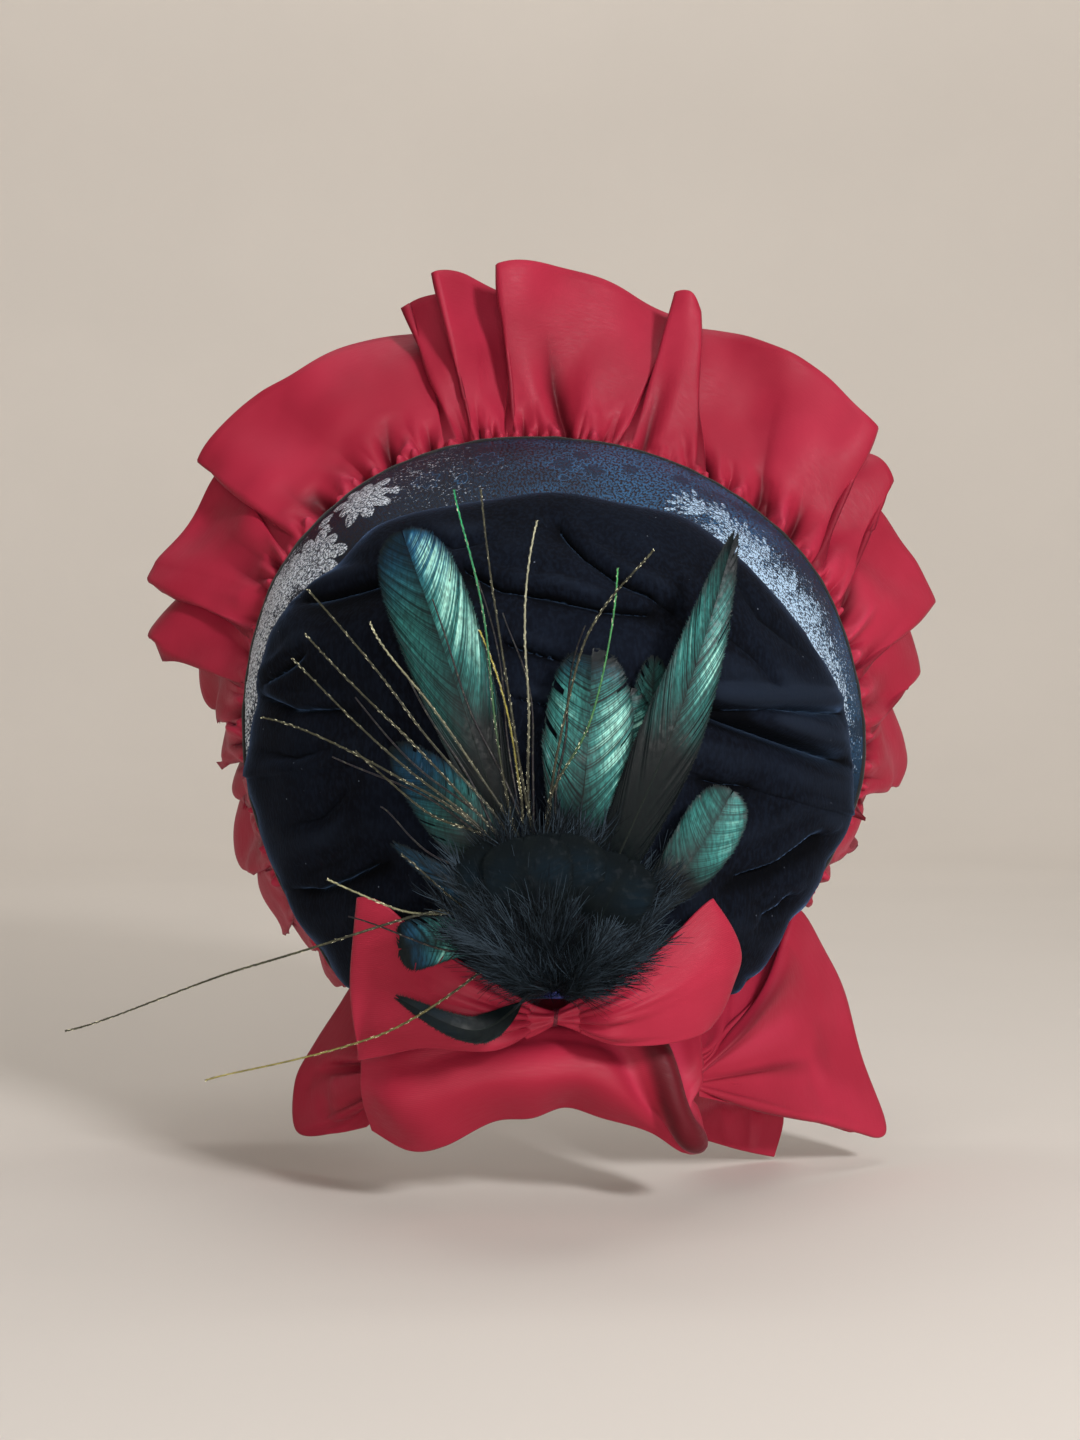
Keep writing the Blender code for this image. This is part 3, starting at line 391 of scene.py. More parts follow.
# Drawn creases of the ruffle: turn at the edge, lean, reach, depth, width in degrees
RUFFLE_CREASES = (
    (-129, 2, 0.7, 1.8, 1.0), (-122, -2, 0.5, 1.8, 1.1), (-112, 3, 0.8, 2.2, 1.3),
    (-108, 0, 0.5, 1.6, 1.0), (-95, 2, 0.7, 2.0, 1.1), (-88, 1, 0.6, 1.8, 1.0),
    (-79, 4, 0.6, 2.0, 1.2), (-71, -3, 0.5, 2.0, 1.2), (-66, 4, 0.7, 2.4, 1.4),
    (-61, 0, 0.35, 1.6, 1.0), (-54, 4, 0.25, 1.4, 1.0), (-47.0, 3, 0.44, 4.6, 2.0),
    (-43.5, 0, 0.20, 1.4, 0.9), (-38.0, 4, 0.24, 1.8, 1.1), (-33.9, 9, 0.56, 4.6, 1.7),
    (-29.5, 0, 0.18, 1.6, 0.9), (-26.0, 3, 0.26, 1.8, 1.0), (-22.5, 1, 0.16, 1.4, 0.8),
    (-14.5, 2, 0.5, 1.8, 0.7), (-11.5, 0, 0.3, 1.6, 0.6), (-6.0, 0, 0.3, 1.8, 0.8),
    (-3.4, 2, 0.22, 1.6, 0.7), (-0.8, -1, 0.4, 2.0, 0.8), (1.6, 1, 0.2, 1.6, 0.6),
    (4.2, -7, 0.80, 4.4, 1.7), (7.0, -1, 0.36, 2.6, 0.9), (9.6, 2, 0.42, 2.6, 0.9),
    (12.2, 3, 0.34, 2.4, 0.8), (17.5, 3, 0.7, 2.2, 1.0), (20.5, 0, 0.25, 1.8, 0.7),
    (24.5, -4, 0.28, 2.0, 0.9), (28.0, -3, 0.4, 2.0, 0.8), (33.6, -5, 0.45, 3.0, 1.0),
    (37.0, 2, 0.40, 2.6, 1.2), (40.5, -2, 0.22, 1.8, 0.8), (43.6, 3, 0.34, 3.2, 1.4),
    (47.0, -4, 0.46, 3.0, 1.3), (51.0, 4, 0.5, 2.4, 1.1), (55.0, 0, 0.22, 1.8, 0.9),
    (58.5, 4, 0.6, 2.2, 1.1), (65.0, 2, 0.5, 1.8, 0.9), (71.0, -2, 0.6, 2.2, 1.1),
    (76.0, 3, 0.5, 2.2, 1.2), (80.0, 0, 0.3, 1.6, 0.9), (87.0, 3, 0.7, 2.2, 1.1),
    (95.0, -2, 0.5, 2.0, 1.1), (100.0, 3, 0.6, 2.2, 1.2), (110.0, 0, 0.6, 2.0, 1.1),
    (121.0, 2, 0.6, 1.8, 1.0),
)
CREASE_DEPTH = 2.0
FINE_GATHERS = 92
SOFT_FOLDS = 22

# Woven flowers on the brocade: kind, turn, share from seam to edge, size, heading, silver
MOTIFS = (
    ("flower", -41, 0.60, 11.5, 150, 1.00),
    ("leaf", -36, 0.50, 5.0, 90, 0.80),
    ("leaf", -47, 0.82, 6.0, 215, 0.95),
    ("leaf", -49, 0.55, 5.0, 250, 0.90),
    ("flower", -56, 0.44, 13.0, 120, 1.00),
    ("leaf", -51, 0.80, 6.0, 20, 0.90),
    ("flower", -66, 0.66, 9.5, 90, 0.95),
    ("leaf", -62, 0.80, 7.0, 240, 0.90),
    ("leaf", -63, 0.22, 8.0, 60, 0.90),
    ("flower", -76, 0.60, 9.0, 60, 0.95),
    ("leaf", -71, 0.20, 8.0, 70, 0.90),
    ("flower", -85, 0.62, 7.5, 30, 0.95),
    ("leaf", -92, 0.60, 6.0, 180, 0.90),
    ("frond", 36, 0.24, 13.0, 318, 0.95),
    ("frond", 41, 0.34, 10.0, 330, 0.85),
    ("frond", 47, 0.20, 13.0, 345, 0.90),
    ("frond", 53, 0.30, 11.0, 335, 0.75),
    ("frond", 62, 0.20, 12.0, 350, 0.75),
    ("frond", 70, 0.30, 11.0, 345, 0.70),
)

# How thickly the silver thread lies: turn, then at the seam, midway and at the bound edge, and
# how blue the ground shines there
# The last column is a blue sheen painted into the ground's colour; it also turns the silver bluer
SILVER_FIELD = (
    (-96, 0.30, 0.74, 0.85, 0.0),
    (-86, 0.35, 0.84, 0.95, 0.0),
    (-76, 0.40, 0.88, 0.95, 0.0),
    (-67, 0.42, 0.88, 0.85, 0.0),
    (-60, 0.25, 0.74, 0.70, 0.0),
    (-54, 0.12, 0.38, 0.40, 0.0),
    (-47, 0.05, 0.18, 0.22, 0.05),
    (-36, 0.28, 0.38, 0.34, 0.1),
    (-22, 0.36, 0.44, 0.38, 0.15),
    (-12, 0.24, 0.28, 0.24, 0.3),
    (0, 0.14, 0.14, 0.12, 0.8),
    (14, 0.16, 0.16, 0.12, 1.0),
    (30, 0.30, 0.12, 0.06, 1.0),
    (37, 0.62, 0.24, 0.08, 1.0),
    (46, 0.94, 0.40, 0.12, 1.0),
    (58, 1.00, 0.52, 0.20, 1.0),
    (70, 0.98, 0.54, 0.28, 0.9),
    (80, 0.88, 0.50, 0.34, 0.8),
    (90, 0.66, 0.44, 0.38, 0.7),
    (105, 0.30, 0.30, 0.30, 0.5),
)

# Tone-on-tone flowers, woven black on the dark ground
DARK_MOTIFS = (
    ("flower", 2, 0.45, 4.6, 20, 0.8),
    ("flower", 6, 0.62, 4.0, 80, 0.8),
    ("leaf", 4, 0.25, 3.6, 280, 0.8),
    ("flower", 9, 0.40, 4.4, 60, 0.8),
    ("flower", 17, 0.52, 3.8, 200, 0.8),
    ("leaf", 15, 0.70, 3.6, 100, 0.8),
    ("flower", 28, 0.62, 4.2, 140, 0.8),
    ("flower", -14, 0.55, 4.6, 330, 0.8),
    ("leaf", -20, 0.40, 5.0, 200, 0.8),
    ("flower", -28, 0.45, 4.6, 10, 0.8),
    ("flower", 92, 0.50, 5.0, 0, 0.8),
)

# Creases in the ribbon pieces, in shares across and down: from, to, depth, width
RIBBON_FOLD = 4.0
CURTAIN_CREASES = (
    (0.54, 0.20, 0.80, 0.98, 4.6, 0.040),
    (0.64, 0.10, 0.90, 0.92, -4.4, 0.050),
    (0.86, 0.20, 0.93, 0.60, 2.2, 0.022),
    (0.84, 0.34, 0.91, 0.40, 1.8, 0.022),
    (0.05, 0.45, 0.36, 0.30, 1.6, 0.045),
    (0.30, 0.30, 0.60, 0.34, 1.0, 0.040),
    (0.60, 0.20, 0.76, 0.80, 1.8, 0.045),
    (0.08, 0.62, 0.16, 1.00, 1.2, 0.050),
    (0.80, 0.10, 0.88, 0.70, 1.4, 0.035),
    (0.72, 0.05, 0.80, 0.40, 1.2, 0.030),
    (0.93, 0.15, 0.95, 0.85, 1.0, 0.030),
)
LOOP_CREASES = (
    (0.00, 0.20, 0.16, 0.10, 1.5, 0.060),
    (0.00, 0.38, 0.20, 0.34, 1.6, 0.050),
    (0.00, 0.55, 0.22, 0.58, 1.7, 0.050),
    (0.00, 0.72, 0.18, 0.84, 1.5, 0.055),
    (0.04, 0.47, 0.30, 0.48, 1.0, 0.040),
    (0.34, 0.10, 0.40, 0.60, 0.8, 0.060),
    (0.46, 0.55, 0.56, 0.95, 1.0, 0.050),
)
TIE_CREASES = (
    (0.10, 0.30, 0.14, 0.98, 1.2, 0.035),
    (0.24, 0.55, 0.25, 0.98, 1.6, 0.030),
    (0.38, 0.45, 0.37, 0.98, 1.8, 0.032),
    (0.52, 0.25, 0.50, 0.98, 2.0, 0.034),
    (0.60, 0.20, 0.58, 0.98, -2.0, 0.040),
    (0.70, 0.32, 0.68, 0.98, 2.4, 0.032),
    (0.84, 0.40, 0.83, 0.98, 1.8, 0.034),
    (0.64, 0.32, 0.72, 0.24, 1.4, 0.050),
)
TAIL_CREASES = (
    (0.0, 0.30, 0.9, 0.36, 1.0, 0.060),
    (0.1, 0.66, 1.0, 0.60, 1.2, 0.060),
)

# How each coque feather shines: glow of its left and right vane as from, to and strength,
# where its green turns to blue, how streaky it is and how ragged its edge is
# The glow is the vanes' own green and blue, painted as a sheen: strongest across the middle of a vane, and
# on one vane more than the other
FEATHER_GLOWS = {
    "feather_tall_left": ((0.44, 1.02, 0.42), (0.50, 1.08, 1.60), 0.76, 0.9, 0.2),
    "feather_tall_right": ((0.46, 0.92, 0.90), (0.46, 0.86, 1.50), 1.30, 1.1, 0.5),
    "feather_centre": ((0.38, 0.96, 0.95), (0.36, 0.92, 1.50), 0.80, 1.1, 1.0),
    "feather_centre_right": ((0.40, 1.00, 1.30), (0.40, 0.98, 1.40), 1.30, 1.0, 1.0),
    "feather_grey": ((0.40, 1.00, 0.60), (0.40, 1.00, 0.56), 1.30, 1.0, 2.0),
    "feather_round_right": ((0.50, 1.06, 0.60), (0.52, 1.06, 0.95), 1.30, 0.8, 0.3),
    "feather_low_left": ((0.44, 0.98, 0.34), (0.40, 0.98, 0.42), 0.62, 0.9, 0.8),
    "feather_pointed_left": ((0.40, 1.00, 0.40), (0.40, 1.00, 0.30), 0.40, 1.0, 0.6),
    "feather_fan": ((0.35, 0.92, 0.90), (0.40, 0.92, 0.84), 0.66, 1.0, 1.6),
    "feather_crescent": ((0.5, 0.9, 0.03), (0.5, 0.9, 0.04), 0.40, 0.6, 0.0),
}
FEATHER_DARK = (0.0022, 0.0040, 0.0050)
FEATHER_BLUE = (0.026, 0.165, 0.330)
FEATHER_GREEN = (0.058, 0.330, 0.300)
# A pale highlight painted where a vane's glow is strongest
FEATHER_PALE_HIGHLIGHT = (0.380, 0.760, 0.640)
BARB_SPACING = 0.42
BARB_STEPS = 9
FEATHER_STEPS = 80
SHAFT_END = 76
SHAFT_SIDES = 5
SHAFT_FOOT = (0.018, 0.020, 0.018)
SHAFT_TIP = (0.005, 0.009, 0.008)
BARB_TIP = 1.1

# Herl colours by strand name: base, then tip
HERL_DARK = (0.0060, 0.0056, 0.0044)
HERL_OLIVE = (0.036, 0.034, 0.017)
# Bright glints painted onto the barbules
HERL_GLINT = (0.960, 0.930, 0.640)
HERL_STEM = (0.010, 0.007, 0.010)
HERL_TIPS = {
    "green tall": (0.010, 0.330, 0.120),
    "green right": (0.050, 0.300, 0.090),
    "pale tall": (0.420, 0.410, 0.280),
    "yellow short": (0.420, 0.360, 0.060),
    "long lower": (0.300, 0.250, 0.060),
    "curled left": (0.360, 0.350, 0.200),
    "left high": (0.300, 0.290, 0.180),
}
HERL_BARBULE = 0.82
HERL_STEP = 0.34
HERL_TWIST = 2.4

DOWN_SEED = 11
DOWN_FOOT = Vector((0.3, -109.0, -76.0))
DOWN_SETBACK = 16.0
DOWN_SETBACK_TURN = 52.0
DOWN_PLUMES = 84
DOWN_WISPS = 56
PLUME_FIBRES = 96
DOWN_BLACK = (0.0022, 0.0030, 0.0042)
# DOWN_LIT is a sheen painted onto a random share of the plumes and fibres
DOWN_LIT = (0.0360, 0.0540, 0.0720)
DOWN_HACKLES = (
    ("hackle middle", (0.4, -110.5, -73), (0, -129, -48), (1, -128, -31), 13.0, 0.70, 0.98),
    ("hackle left", (-1.2, -110, -73), (-13, -128, -48), (-18, -126, -33), 11.5, 0.70, 0.98),
    ("hackle right", (2.0, -110, -73), (13, -128, -52), (20, -126, -38), 10.5, 0.70, 0.98),
    ("hackle front", (0.2, -111, -73), (-6, -131.5, -50), (-9, -130.5, -32), 12.0, 0.72, 0.98),
)
# The hackles' faint painted glow, in the columns of FEATHER_GLOWS
DOWN_GLOW = ((0.5, 0.9, 0.02), (0.5, 0.9, 0.03), 0.40, 0.6, 0.0)

# Cloth colours: red, green, blue
SATIN_RED = (0.325, 0.0150, 0.0380)
SATIN_DEEP = (0.250, 0.0095, 0.0250)
# SATIN_LIT tints the weft and is the painted highlight on fold ridges; SATIN_SHADOW is the painted shade in
# fold valleys
SATIN_LIT = (0.455, 0.0310, 0.0720)
SATIN_SHADOW = (0.070, 0.0020, 0.0060)
VELVET_DARK = (0.0020, 0.0026, 0.0048)
VELVET_BRUSHED = (0.0030, 0.0044, 0.0086)
VELVET_LIT = (0.0060, 0.0096, 0.0180)
# Painted shade for the velvet's fold valleys, and a painted highlight for its ridges
VELVET_SHADOW = (0.0006, 0.0008, 0.0014)
VELVET_RIDGE_HIGHLIGHT = (0.0100, 0.0150, 0.0260)
VELVET_SHEEN = 0.110
LINT_GREY = (0.12, 0.14, 0.18)
BROCADE_BLACK = (0.0020, 0.0024, 0.0040)
BROCADE_DEEP = (0.0050, 0.0056, 0.0080)
BROCADE_GROUND = (0.0110, 0.0210, 0.0380)
BROCADE_DAMASK = (0.0030, 0.0070, 0.0150)
# BROCADE_SHEEN is a blue sheen painted into the ground's colour
BROCADE_SHEEN = (0.0300, 0.1050, 0.2150)
SILVER = (0.740, 0.800, 0.860)
SILVER_BLUE = (0.380, 0.580, 0.780)
SILVER_SHADE = (0.050, 0.070, 0.105)

# The stage: a pale floor that curves up behind, with soft lights from a large room
FLOOR_COLOUR = (0.660, 0.610, 0.555)
FLOOR_HEIGHT = -0.1445
SWEEP_START = 1.50
SWEEP_RADIUS = 1.10
WALL_TOP = 2.6
WORLD_COLOUR = (0.95, 0.97, 1.0)
WORLD_STRENGTH = 0.15
MIDDLE = (0.0, -0.03, 0.0)
LIGHTS = (
    ("key_light", (0.66, -1.12, 0.56), (0.20, 0.20), 17.0, (0.98, 0.98, 1.0), MIDDLE),
    ("low_light", (0.02, -1.25, 0.00), (0.40, 0.20), 6.5, (1.0, 0.98, 0.95), MIDDLE),
    ("top_light", (0.10, -0.10, 1.40), (0.8, 0.5), 4.0, (1.0, 0.99, 0.97), MIDDLE),
    ("wall_light", (0.10, 0.90, 2.20), (2.4, 0.8), 30.0, (1.0, 0.98, 0.95), (0.0, 2.6, 0.4)),
)
CAMERA_PLACE = (-0.0045, -0.70, 0.0)
CAMERA_LENS = 52.5


# How finely each sheet is laid out: columns along its root, rows out to its free edge
CROWN_GRID = (480, 84)
BRIM_GRID = (680, 64)
BINDING_GRID = (420, 14)
RUFFLE_ROWS = 44
CURTAIN_GRID = (150, 44)
LOOP_GRID = (110, 40)
TAIL_GRID = (40, 40)
TIE_GRID = (130, 48)


def hermite(before, start, end, after, share, spans):
    """A smooth value between start and end, with the slopes of their neighbours."""
    left, middle, right = spans
    slope_start = (end - before) * (middle / (left + middle))
    slope_end = (after - start) * (middle / (middle + right))
    square = share * share
    cube = square * share
    return (
        start * (2 * cube - 3 * square + 1)
        + slope_start * (cube - 2 * square + share)
        + end * (3 * square - 2 * cube)
        + slope_end * (cube - square)
    )


def read_rows(rows, key):
    """The smooth value of a table's columns at a key between its rows."""
    key = min(max(key, rows[0][0]), rows[-1][0])
    index = max(i for i in range(len(rows) - 1) if rows[i][0] <= key)
    start, end = rows[index], rows[index + 1]
    before = rows[index - 1] if index > 0 else start
    after = rows[index + 2] if index + 2 < len(rows) else end
    middle = end[0] - start[0]
    left = start[0] - before[0] or middle
    right = after[0] - end[0] or middle
    share = (key - start[0]) / middle
    columns = range(1, len(start))
    spans = (left, middle, right)
    return [hermite(before[c], start[c], end[c], after[c], share, spans) for c in columns]


def closed_ring(rows):
    """A ring's rows with two over at each end, so that it closes smoothly."""
    head = [(turn - 360, *place) for turn, *place in rows[-3:-1]]
    tail = [(turn + 360, *place) for turn, *place in rows[1:3]]
    return head + list(rows) + tail


EDGE_RING = closed_ring(EDGE)


def edge_at(turn):
    return Vector(read_rows(EDGE_RING, turn))


def outward_at(turn):
    """The way that the cloth runs across the edge, from the crown outwards."""
    edge = edge_at(turn)
    radial = Vector((edge.x, 0.0, edge.z)).normalized()
    if BRIM_FROM < turn < BRIM_TO:
        across = edge - Vector(read_rows(SEAM, turn))
        return across.normalized()
    forward = radial * 0.3 + Vector((0.0, 0.95, 0.0))
    along = (edge_at(turn + 1) - edge_at(turn - 1)).normalized()
    return (forward - along * forward.dot(along)).normalized()


def rim_at(turn):
    """The crown's rim: on the brocade over the top, and at the binding below it."""
    if BRIM_FROM < turn < BRIM_TO:
        return Vector(read_rows(SEAM, turn))
    return edge_at(turn) - outward_at(turn) * CROWN_END_SETBACK


def smooth_path(points, share):
    """A point at a share of a smooth curve through a few points."""
    rows = [(index, *point) for index, point in enumerate(points)]
    return Vector(read_rows(rows, share * (len(points) - 1)))


def ruffle_hem():
    """The hem's way through every pleat: turn of the edge, turn of the hem, reach and y."""
    way = []
    for index, (root_from, root_to, start, middle, end) in enumerate(RUFFLE_PLEATS):
        first, last = start, end
        if index > 0:
            before = RUFFLE_PLEATS[index - 1][4]
            if before[2] < start[2]:
                first = (before[0] - RUFFLE_TUCK, start[1] - 1.5, start[2])
        if index < len(RUFFLE_PLEATS) - 1:
            after = RUFFLE_PLEATS[index + 1][2]
            if end[2] > after[2]:
                last = (after[0] + RUFFLE_TUCK, end[1] - 1.5, end[2])
        span = root_to - root_from
        way.append((root_from + 0.07 * span, *first))
        way.append((root_from + 0.5 * span, *middle))
        way.append((root_to - 0.07 * span, *last))
    return way


def tie_seat(turn):
    """Where a tie is sewn on, right under the binding."""
    edge = edge_at(turn)
    return edge + Vector((edge.x, 0.0, edge.z)).normalized() * BINDING_RADIUS * 1.2


def feather_half_width(share, half, widest, tip_round, quill):
    """A feather's half width: a bare quill, a swelling vane and a pointed or round tip."""
    if share < quill:
        return QUILL_HALF
    along = (share - quill) / (1 - quill)
    peak = (widest - quill) / (1 - quill)
    if along < peak:
        swell = math.sin(along / peak * math.pi / 2) ** 0.8
        return QUILL_HALF + (half - QUILL_HALF) * swell
    fall = (along - peak) / (1 - peak)
    pointed = 1 - fall ** 1.3
    rounded = math.sqrt(max(1 - fall ** 2.6, 0.0))
    return max(half * (pointed * (1 - tip_round) + rounded * tip_round), 0.25)


def normals_of(grid, closed):
    """The unit normal at each point of a grid of columns."""
    if closed:
        along = np.roll(grid, -1, 0) - np.roll(grid, 1, 0)
    else:
        along = np.gradient(grid, axis=0)
    normal = np.cross(along, np.gradient(grid, axis=1))
    return normal / np.maximum(np.linalg.norm(normal, axis=2, keepdims=True), 1e-9)


def distances(grid, axis):
    """How far each row or column of a grid lies from the first, in metres."""
    steps = np.linalg.norm(np.diff(grid, axis=axis), axis=2).mean(axis=1 - axis)
    return np.concatenate([[0.0], np.cumsum(steps)]) * MM


def add_piece(name, vertices, faces, materials, nodes=()):
    """A mesh in millimetres as a smooth piece that rides on the model and stands for its nodes."""
    mesh = bpy.data.meshes.new(name)
    mesh.from_pydata((np.asarray(vertices) * MM).tolist(), [], faces)
    mesh.shade_smooth()
    for material in materials:
        mesh.materials.append(material)
    piece = bpy.data.objects.new(name, mesh)
    bpy.context.collection.objects.link(piece)
    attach(piece, "root")
    if nodes:
        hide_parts(*nodes)
    return piece


def rim_points(grid, wall, closed):
    """The rounded edge of a sheet: the grid's border, pushed out a little."""
    columns, rows = grid.shape[:2]
    points = {}
    for i in range(columns):
        for j in range(rows):
            at_end = not closed and i in (0, columns - 1)
            if j not in (0, rows - 1) and not at_end:
                continue
            out = np.zeros(3)
            if j == 0:
                out += grid[i, 0] - grid[i, 1]
            if j == rows - 1:
                out += grid[i, -1] - grid[i, -2]
            if at_end and i == 0:
                out += grid[0, j] - grid[1, j]
            if at_end and i > 0:
                out += grid[-1, j] - grid[-2, j]
            length = max(np.linalg.norm(out), 1e-9)
            points[i, j] = grid[i, j] + out / length * wall * ROUNDED_EDGE
    return points


def sheet_faces(columns, rows, closed, rim):
    """Faces of both sides and the rounded edge, and how many of them are on the front."""
    spans = [(i, (i + 1) % columns) for i in range(columns if closed else columns - 1)]
    total = columns * rows
    front = [(i * rows + j, n * rows + j, n * rows + j + 1, i * rows + j + 1)
             for i, n in spans for j in range(rows - 1)]
    back = [(total + d, total + c, total + b, total + a) for a, b, c, d in front]
    edge = []
    for j, turned in ((0, False), (rows - 1, True)):
        for i, n in spans:
            for side, flip in ((0, False), (total, True)):
                face = (side + i * rows + j, rim[i, j], rim[n, j], side + n * rows + j)
                edge.append(face if turned == flip else face[::-1])
    if not closed:
        for i, turned in ((0, False), (columns - 1, True)):
            for j in range(rows - 1):
                for side, flip in ((0, False), (total, True)):
                    place = side + i * rows + j
                    face = (place, place + 1, rim[i, j + 1], rim[i, j])
                    edge.append(face if turned == flip else face[::-1])
    return front, back, edge


def sheet_piece(name, grid, wall, materials, nodes=(), closed=False, paints=None):
    """A cloth sheet with a wall and a rounded edge, from a grid of its middle surface."""
    columns, rows = grid.shape[:2]
    normals = normals_of(grid, closed) * wall / 2
    borders = rim_points(grid, wall, closed)
    total = columns * rows
    rim = {place: 2 * total + index for index, place in enumerate(borders)}
    vertices = np.concatenate([
        (grid + normals).reshape(-1, 3),
        (grid - normals).reshape(-1, 3),
        np.array(list(borders.values())),
    ])
    front, back, edge = sheet_faces(columns, rows, closed, rim)
    piece = add_piece(name, vertices, front + back + edge, materials, nodes)
    mesh = piece.data
    if len(materials) > 1:
        sides = [0] * len(front) + [1] * len(back) + [0] * len(edge)
        mesh.polygons.foreach_set("material_index", sides)
    along, across = np.meshgrid(distances(grid, 0), distances(grid, 1), indexing="ij")
    border = np.array([(along[place], across[place]) for place in borders])
    flat = np.stack([along.ravel(), across.ravel()], axis=1)
    places = np.concatenate([flat, flat, border])
    loops = np.empty(len(mesh.loops), dtype=np.int32)
    mesh.loops.foreach_get("vertex_index", loops)
    layer = mesh.uv_layers.new(name="cloth")
    layer.data.foreach_set("uv", places[loops].astype(np.float32).ravel())
    for paint, values in (paints or {}).items():
        attribute = mesh.attributes.new(paint, "FLOAT", "POINT")
        edge_values = np.array([values[place] for place in borders])
        every = np.concatenate([values.ravel(), values.ravel(), edge_values])
        attribute.data.foreach_set("value", every.astype(np.float32))
    return piece


def along_line(x, z, points):
    """Each place's distance from a line of points, signed by side, and its share along the line."""
    reach = np.full(x.shape, 1e9)
    side = np.ones(x.shape)
    share = np.zeros(x.shape)
    spans = [math.dist(a, b) for a, b in zip(points, points[1:])]
    walked = 0.0
    for (ax, az), (bx, bz), span in zip(points, points[1:], spans):
        dx, dz = (bx - ax) / span, (bz - az) / span
        part = np.clip((x - ax) * dx + (z - az) * dz, 0.0, span)
        away = np.hypot(x - ax - dx * part, z - az - dz * part)
        near = away < reach
        above = np.sign(dx * (z - az) - dz * (x - ax))
        reach = np.where(near, away, reach)
        side = np.where(near, above, side)
        share = np.where(near, (walked + part) / sum(spans), share)
        walked += span
    return reach * side, share


def crease_field(turns, shares, rows, start=0.0):
    """Valleys that run out from the root: turn, lean, reach, depth and width."""
    depth = np.zeros(np.broadcast(turns, shares).shape)
    for turn, lean, reach, deep, wide in rows:
        apart = (turns - turn - lean * shares + 180) % 360 - 180
        spread = wide * (0.8 + 0.8 * shares / reach)
        fade = np.clip(1 - shares / reach, 0, 1) ** 0.8 * np.clip((shares - start) * 18, 0, 1)
        depth -= deep * fade * np.exp(-np.abs(apart / spread) ** 1.15)
        depth += 0.4 * deep * fade * np.exp(-((np.abs(apart) - 2.1 * spread) / spread) ** 2)
    return depth


def ribbon_field(columns, rows, creases):
    """Creases of a ribbon piece, in shares across its sections and down them."""
    across, down = np.meshgrid(np.linspace(0, 1, columns), np.linspace(0, 1, rows), indexing="ij")
    depth = np.zeros((columns, rows))
    for from_u, from_v, to_u, to_v, deep, wide in creases:
        away, share = along_line(across, down, ((from_u, from_v), (to_u, to_v)))
        taper = np.sin(np.pi * np.clip(share * 0.9 + 0.05, 0, 1)) ** 0.7
        depth -= deep * taper * np.exp(-(away / wide) ** 2)
        depth += 0.45 * deep * taper * np.exp(-((away - 1.7 * wide) / (1.1 * wide)) ** 2)
    return depth


def fold_shade_paint(depth, full):
    """How deep in a fold each place lies, from -1 in a valley to 1 on a ridge; the looks paint shade into
    the valleys and a highlight onto the ridges from it.
    """
    return {"fold": np.clip(depth / full, -1.0, 1.0)}


def crumple(grid, seed, amount, size):
    """Soft unevenness over a grid, from a few slow waves."""
    maker = random.Random(seed)
    depth = np.zeros(grid.shape[:2])
    for _ in range(9):
        way = np.array([maker.uniform(-1, 1) for _ in range(3)])
        way /= np.linalg.norm(way) * size * maker.uniform(0.6, 1.6)
        depth += np.sin(grid @ way * 2 * np.pi + maker.uniform(0, 6.3))
    return depth * amount / 3


def crown_grid(columns, shares):
    """The velvet's middle surface, with the part's own shape and the finer drapes on it."""
    turns = np.linspace(-180, 180, columns, endpoint=False)
    rims = np.array([rim_at(turn) for turn in turns])[:, None, :]
    quarter = shares[None, :] * np.pi / 2
    body = np.array([read_rows(CROWN_BODY, abs(turn)) for turn in turns])
    power = 2 / body[:, :1]
    spread = np.cos(quarter).clip(0) ** power
    rise = np.sin(quarter) ** power
    x = rims[..., 0] * spread + CROWN_POLE.x * (1 - spread)
    y = rims[..., 1] + (CROWN_POLE.y - rims[..., 1]) * rise
    z = rims[..., 2] * spread + CROWN_POLE.z * (1 - spread)
    grid = np.stack([x, y, z], axis=2)
    away = grid - np.array([0.0, -30.0, 0.0])
    away /= np.linalg.norm(away, axis=2, keepdims=True)
    puff = body[:, 1:] * np.sin(np.pi * np.minimum(shares * 2.2, 1.0)) ** 2
    sink = np.zeros(x.shape)
    lift = np.zeros(x.shape)
    for _, from_x, from_z, to_x, to_z, deep, wide in CROWN_FOLDS:
        reach = np.abs(along_line(x, z, ((from_x, from_z), (to_x, to_z)))[0]) / wide
        sink = np.maximum(sink, deep * np.exp(-reach ** 2))
        lift = np.maximum(lift, 0.35 * deep * np.exp(-(reach - 2.0) ** 2))
    fine = np.zeros(x.shape)
    for points, deep, wide, lip in VELVET_PLEATS:
        reach, share = along_line(x, z, points)
        taper = np.sin(np.pi * np.clip(share * 0.94 + 0.03, 0, 1)) ** 0.5
        fine += deep * 1.15 * taper * np.exp(-np.abs(reach / (0.8 * wide)) ** 1.4)
        fine -= deep * lip * taper * np.exp(-((reach - 1.7 * wide) / (1.3 * wide)) ** 2) * 0.7
    gathers = crease_field(turns[:, None], shares[None, :], RIM_GATHERS)
    settle = np.minimum(shares * 6.0, 1.0)[None, :]
    depth = puff - (sink - lift) * settle * 0.55 - fine * settle + gathers
    depth += crumple(grid, 5, 0.45, 42.0) * settle
    folds = gathers - (sink - lift) * settle * 0.55 - fine * settle
    return grid + away * depth[..., None], folds


def make_crown(velvet, lining):
    columns, rows = CROWN_GRID
    shares = np.linspace(0, 1, rows) ** 0.92 * 0.985
    grid, folds = crown_grid(columns, shares)
    pole = grid[:, -1].mean(axis=0)
    grid = np.concatenate([grid, np.repeat(pole[None, None, :], len(grid), 0) * 0.97
                           + grid[:, -1:] * 0.03], axis=1)
    folds = np.concatenate([folds, folds[:, -1:]], axis=1)
    piece = sheet_piece("crown_velvet", grid[::-1], VELVET_WALL, (velvet, lining), ("crown",),
                        closed=True, paints=fold_shade_paint(folds[::-1], 2.4))
    return piece


